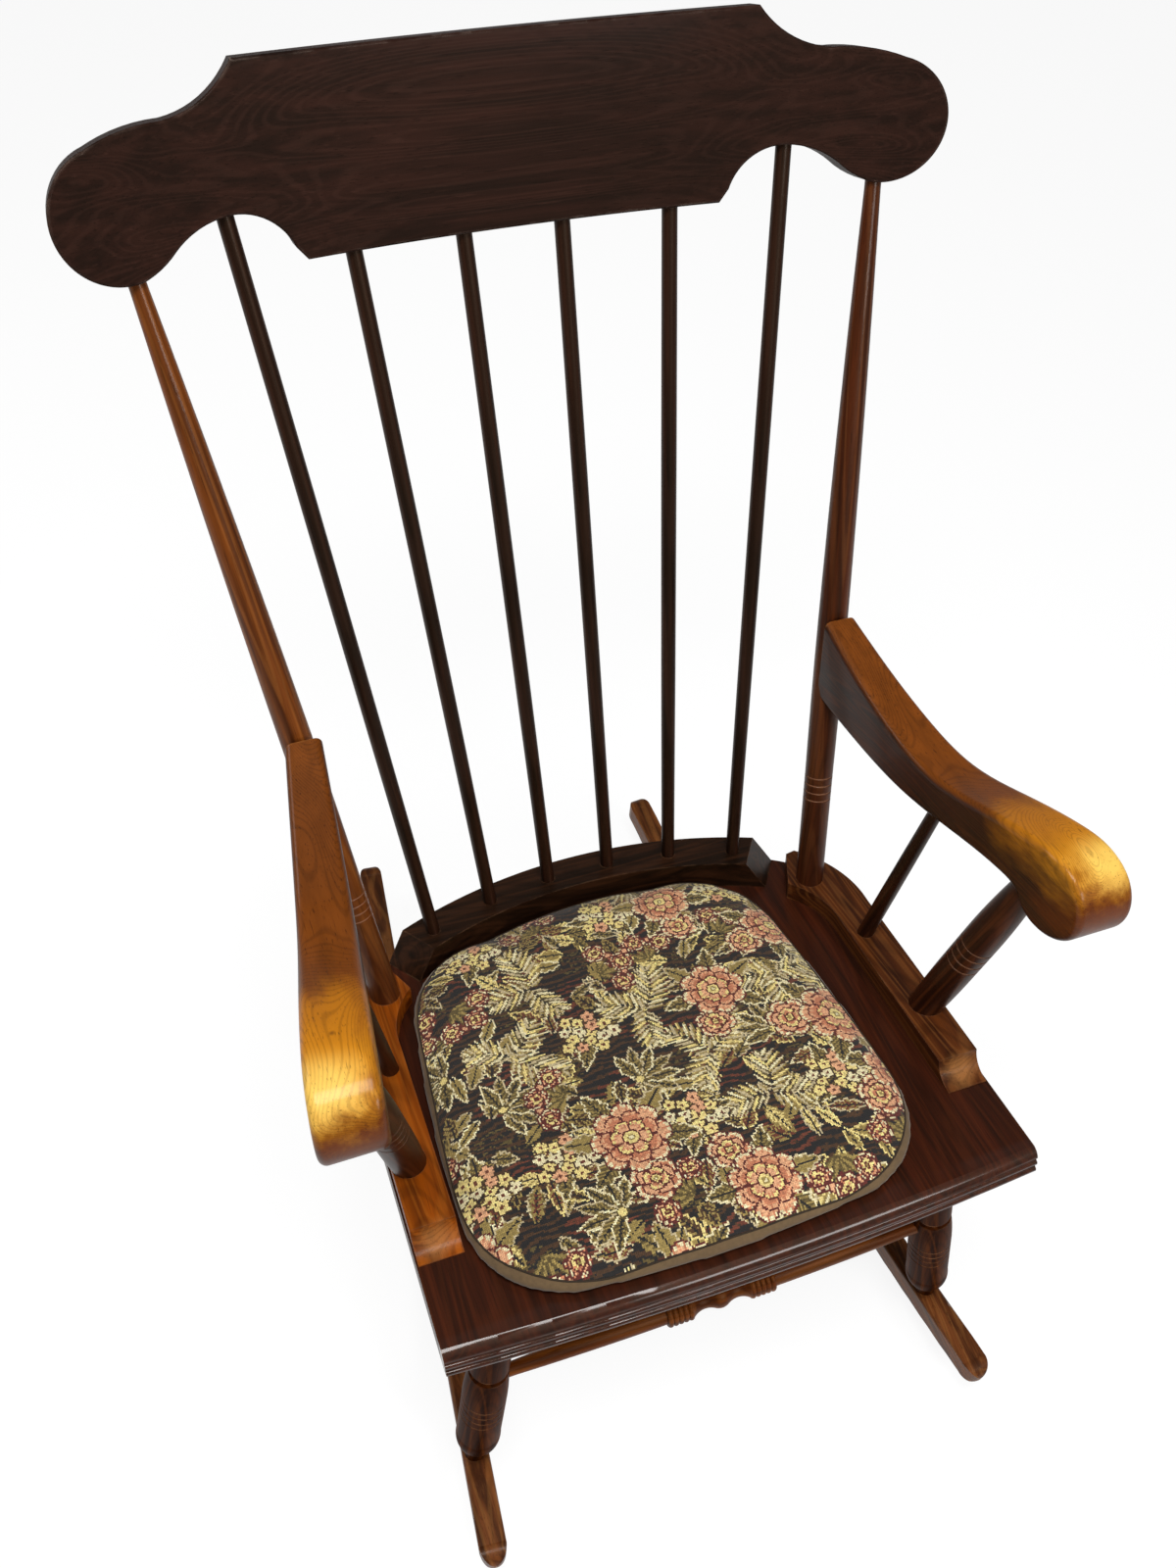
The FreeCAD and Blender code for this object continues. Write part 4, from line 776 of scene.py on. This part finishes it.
    def motif_places(self):
        """Kind, point and direction of every motif, on staggered rows."""
        rng = self.rng
        places = []
        for row in range(int((self.rows[-1] - self.rows[0]) / MOTIF_PITCH) + 2):
            for column in range(int((self.columns[-1] - self.columns[0]) / MOTIF_PITCH) + 2):
                x = self.low[0] + MOTIF_PITCH * (column + 0.5 * (row % 2))
                x += rng.uniform(-MOTIF_JITTER, MOTIF_JITTER)
                v = self.low[1] + MOTIF_PITCH * (row + 0.25)
                v += rng.uniform(-MOTIF_JITTER, MOTIF_JITTER)
                if (row + column) % 2:
                    kind = KINDS[rng.permutation(5)[0]]
                else:
                    kind = KINDS[(row + 2 * column) % 4]
                places.append((kind, x, v, rng.uniform(0, math.tau)))
        return sorted(places, key=lambda place: KINDS.index(place[0]))

    def flowerbed(self):
        """Leaves all over, and motifs over them."""
        self.scattered_leaves()
        for kind, x, v, turn in self.motif_places():
            if kind == "fern":
                self.fern(x, v, turn, 52.0)
                self.fern(x, v, turn + 1.5, 44.0)
                self.fern(x, v, turn + 3.4, 40.0)
            elif kind == "peony":
                self.peony(x, v, self.rng.uniform(28.0, 35.0), turn)
            elif kind == "cluster":
                self.leaf(x, v, turn, 44.0, 9.0)
                self.leaf(x, v, turn + 2.1, 40.0, 9.0)
                self.cluster(x, v, 27.0)
            elif kind == "palmette":
                self.palmette(x, v, turn, 42.0)
            else:
                self.sprig(x, v, turn)

    def colours(self):
        """Linear colour of every stitch, with uneven yarn."""
        loose = self.rng.random(self.yarn.shape) < 0.07
        self.yarn = np.where(loose, np.roll(self.yarn, 1, axis=1), self.yarn)
        light = 1.0 + 0.16 * self.rng.standard_normal(self.yarn.shape)
        light *= 1.0 - 0.10 * (np.arange(self.yarn.shape[0]) % 2)[:, None]
        paint = np.array(YARNS)[self.yarn] * np.clip(light, 0.6, 1.5)[..., None]
        return np.clip(paint, 0.0, 1.0)


def woven_panel(weave, body_mesh, middle, rim):
    """The stitches as a sheet laid on the cushion and trimmed to its outline."""
    columns = weave.low[0] + STITCH * np.arange(len(weave.columns) + 1)
    rows = weave.low[1] + STITCH * np.arange(len(weave.rows) + 1)
    x, v = [side.ravel() * MM for side in np.meshgrid(columns, rows)]
    turn = np.arctan2(v - middle[1], x - middle[0])
    away = np.hypot(x - middle[0], v - middle[1])
    limit = rim(turn)
    kept = np.minimum(away, limit)
    x, v = middle[0] + kept * np.cos(turn), middle[1] + kept * np.sin(turn)
    count = len(columns)
    first = (np.arange(len(rows) - 1)[:, None] * count + np.arange(count - 1)[None, :]).ravel()
    quads = np.stack([first, first + 1, first + count + 1, first + count], axis=1)
    inside = ~(away >= limit)[quads].all(axis=1)
    used = np.unique(quads[inside])
    surface = height_above(body_mesh)
    height = np.zeros(len(x))
    for index in used:
        height[index] = surface(x[index], v[index])
    number = np.zeros(len(x), int)
    number[used] = np.arange(len(used))
    mesh = bpy.data.meshes.new("woven_cover")
    mesh.from_pydata(np.stack([x, v, height + COVER_LIFT], axis=1)[used].tolist(), [],
                     number[quads[inside]].tolist())
    paint = weave.colours().reshape(-1, 3)[inside]
    layer = mesh.color_attributes.new("yarn", "FLOAT_COLOR", "CORNER")
    layer.data.foreach_set("color", np.repeat(np.c_[paint, np.ones(len(paint))], 4, axis=0).ravel())
    smooth_shaded(mesh)
    return mesh


def seam_mesh(body_mesh, middle, rim):
    """A thin cord round the edge of the cover."""
    surface = height_above(body_mesh)
    curve = bpy.data.curves.new("pad_seam", "CURVE")
    curve.dimensions = "3D"
    curve.bevel_depth = 0.0009
    angles = np.linspace(0, math.tau, 241)[:-1]
    spline = curve.splines.new("POLY")
    spline.points.add(len(angles) - 1)
    for spot, angle in zip(spline.points, angles):
        far = float(rim(angle))
        x, v = middle[0] + far * math.cos(angle), middle[1] + far * math.sin(angle)
        spot.co = (x, v, surface(x, v) + COVER_LIFT, 1.0)
    spline.use_cyclic_u = True
    draft = bpy.data.objects.new("pad_seam_draft", curve)
    scene.collection.objects.link(draft)
    mesh = evaluated(draft)
    bpy.data.objects.remove(draft)
    return mesh


def velvet():
    """Brown velvet of the pad's band and underside."""
    g = Graph("velvet")
    place = g.room()
    nap = g.noise(place, 260.0, 3.0)
    brushed = g.noise(place, 28.0)
    share = g.math("MULTIPLY_ADD", nap, 0.5, g.math("MULTIPLY", brushed, 0.4))
    g.put(g.shader.inputs["Base Color"], g.mix(share, rgb("4a371f"), rgb("7d6340")))
    g.shader.inputs["Roughness"].default_value = 0.85
    g.shader.inputs["Sheen Weight"].default_value = 0.25
    g.bump(nap, 0.2, 0.0004)
    return g.material


def woven_yarn():
    """The stitches' own colours, shaded by the ribs of the weave."""
    g = Graph("woven_yarn")
    yarn = g.add("VertexColor", layer_name="yarn")
    place = g.room()
    shift = tuple(-(SEAT.to_3x3().inverted() @ SEAT_FRONT))
    local = g.add("Mapping", place, shift, (SEAT_SLOPE, 0.0, 0.0), vector_type="POINT")
    half_wave = math.tau / (STITCH * MM) / 2
    warp, weft = [g.math("ABSOLUTE", g.math("SINE", g.math("MULTIPLY", g.add(
        "SeparateXYZ", local, out=index), half_wave))) for index in (0, 1)]
    ribs = g.math("MULTIPLY", warp, weft)
    fuzz = g.noise(place, 1500.0)
    tint = g.math("MULTIPLY_ADD", ribs, 0.45, g.math("MULTIPLY_ADD", fuzz, 0.3, 0.55))
    shade = g.tree.nodes.new("ShaderNodeVectorMath")
    shade.operation = "SCALE"
    g.put(shade.inputs[0], yarn)
    g.put(shade.inputs["Scale"], tint)
    g.put(g.shader.inputs["Base Color"], shade.outputs[0])
    g.shader.inputs["Roughness"].default_value = 0.82
    g.shader.inputs["Sheen Weight"].default_value = 0.12
    g.bump(g.math("ADD", ribs, g.math("MULTIPLY", fuzz, 0.5)), 0.55, 0.0005)
    return g.material


def seam_thread():
    g = Graph("seam_thread")
    g.put(g.shader.inputs["Base Color"],
          g.mix(g.noise(g.room(), 900.0), rgb("1c140c"), rgb("3a2b19")))
    g.shader.inputs["Roughness"].default_value = 0.9
    return g.material


solid = nodes["seat_cushion"].data.copy()
solid.transform(SEAT.inverted())
body_mesh = cushion(solid)
body_mesh.materials.clear()
body_mesh.materials.append(velvet())
pad_middle, pad_rim = ring_of(body_mesh, BAND_WIDTH)

reach = max(pad_rim(angle) for angle in np.linspace(0, math.tau, 73)) / MM + 2 * STITCH
weave = Weave(pad_middle / MM - reach, pad_middle / MM + reach, WEAVE_SEED)
weave.flowerbed()
cover_mesh = woven_panel(weave, body_mesh, pad_middle, pad_rim)
cover_mesh.materials.append(woven_yarn())
cord_mesh = seam_mesh(body_mesh, pad_middle, pad_rim)
cord_mesh.materials.append(seam_thread())

pad = bpy.data.objects.new("pad_body", body_mesh)
cover = bpy.data.objects.new("woven_cover", cover_mesh)
seam = bpy.data.objects.new("pad_seam", cord_mesh)
for piece in (pad, cover, seam):
    piece.matrix_world = SEAT
    scene.collection.objects.link(piece)
    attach(piece, "pad")
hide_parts("seat_cushion")
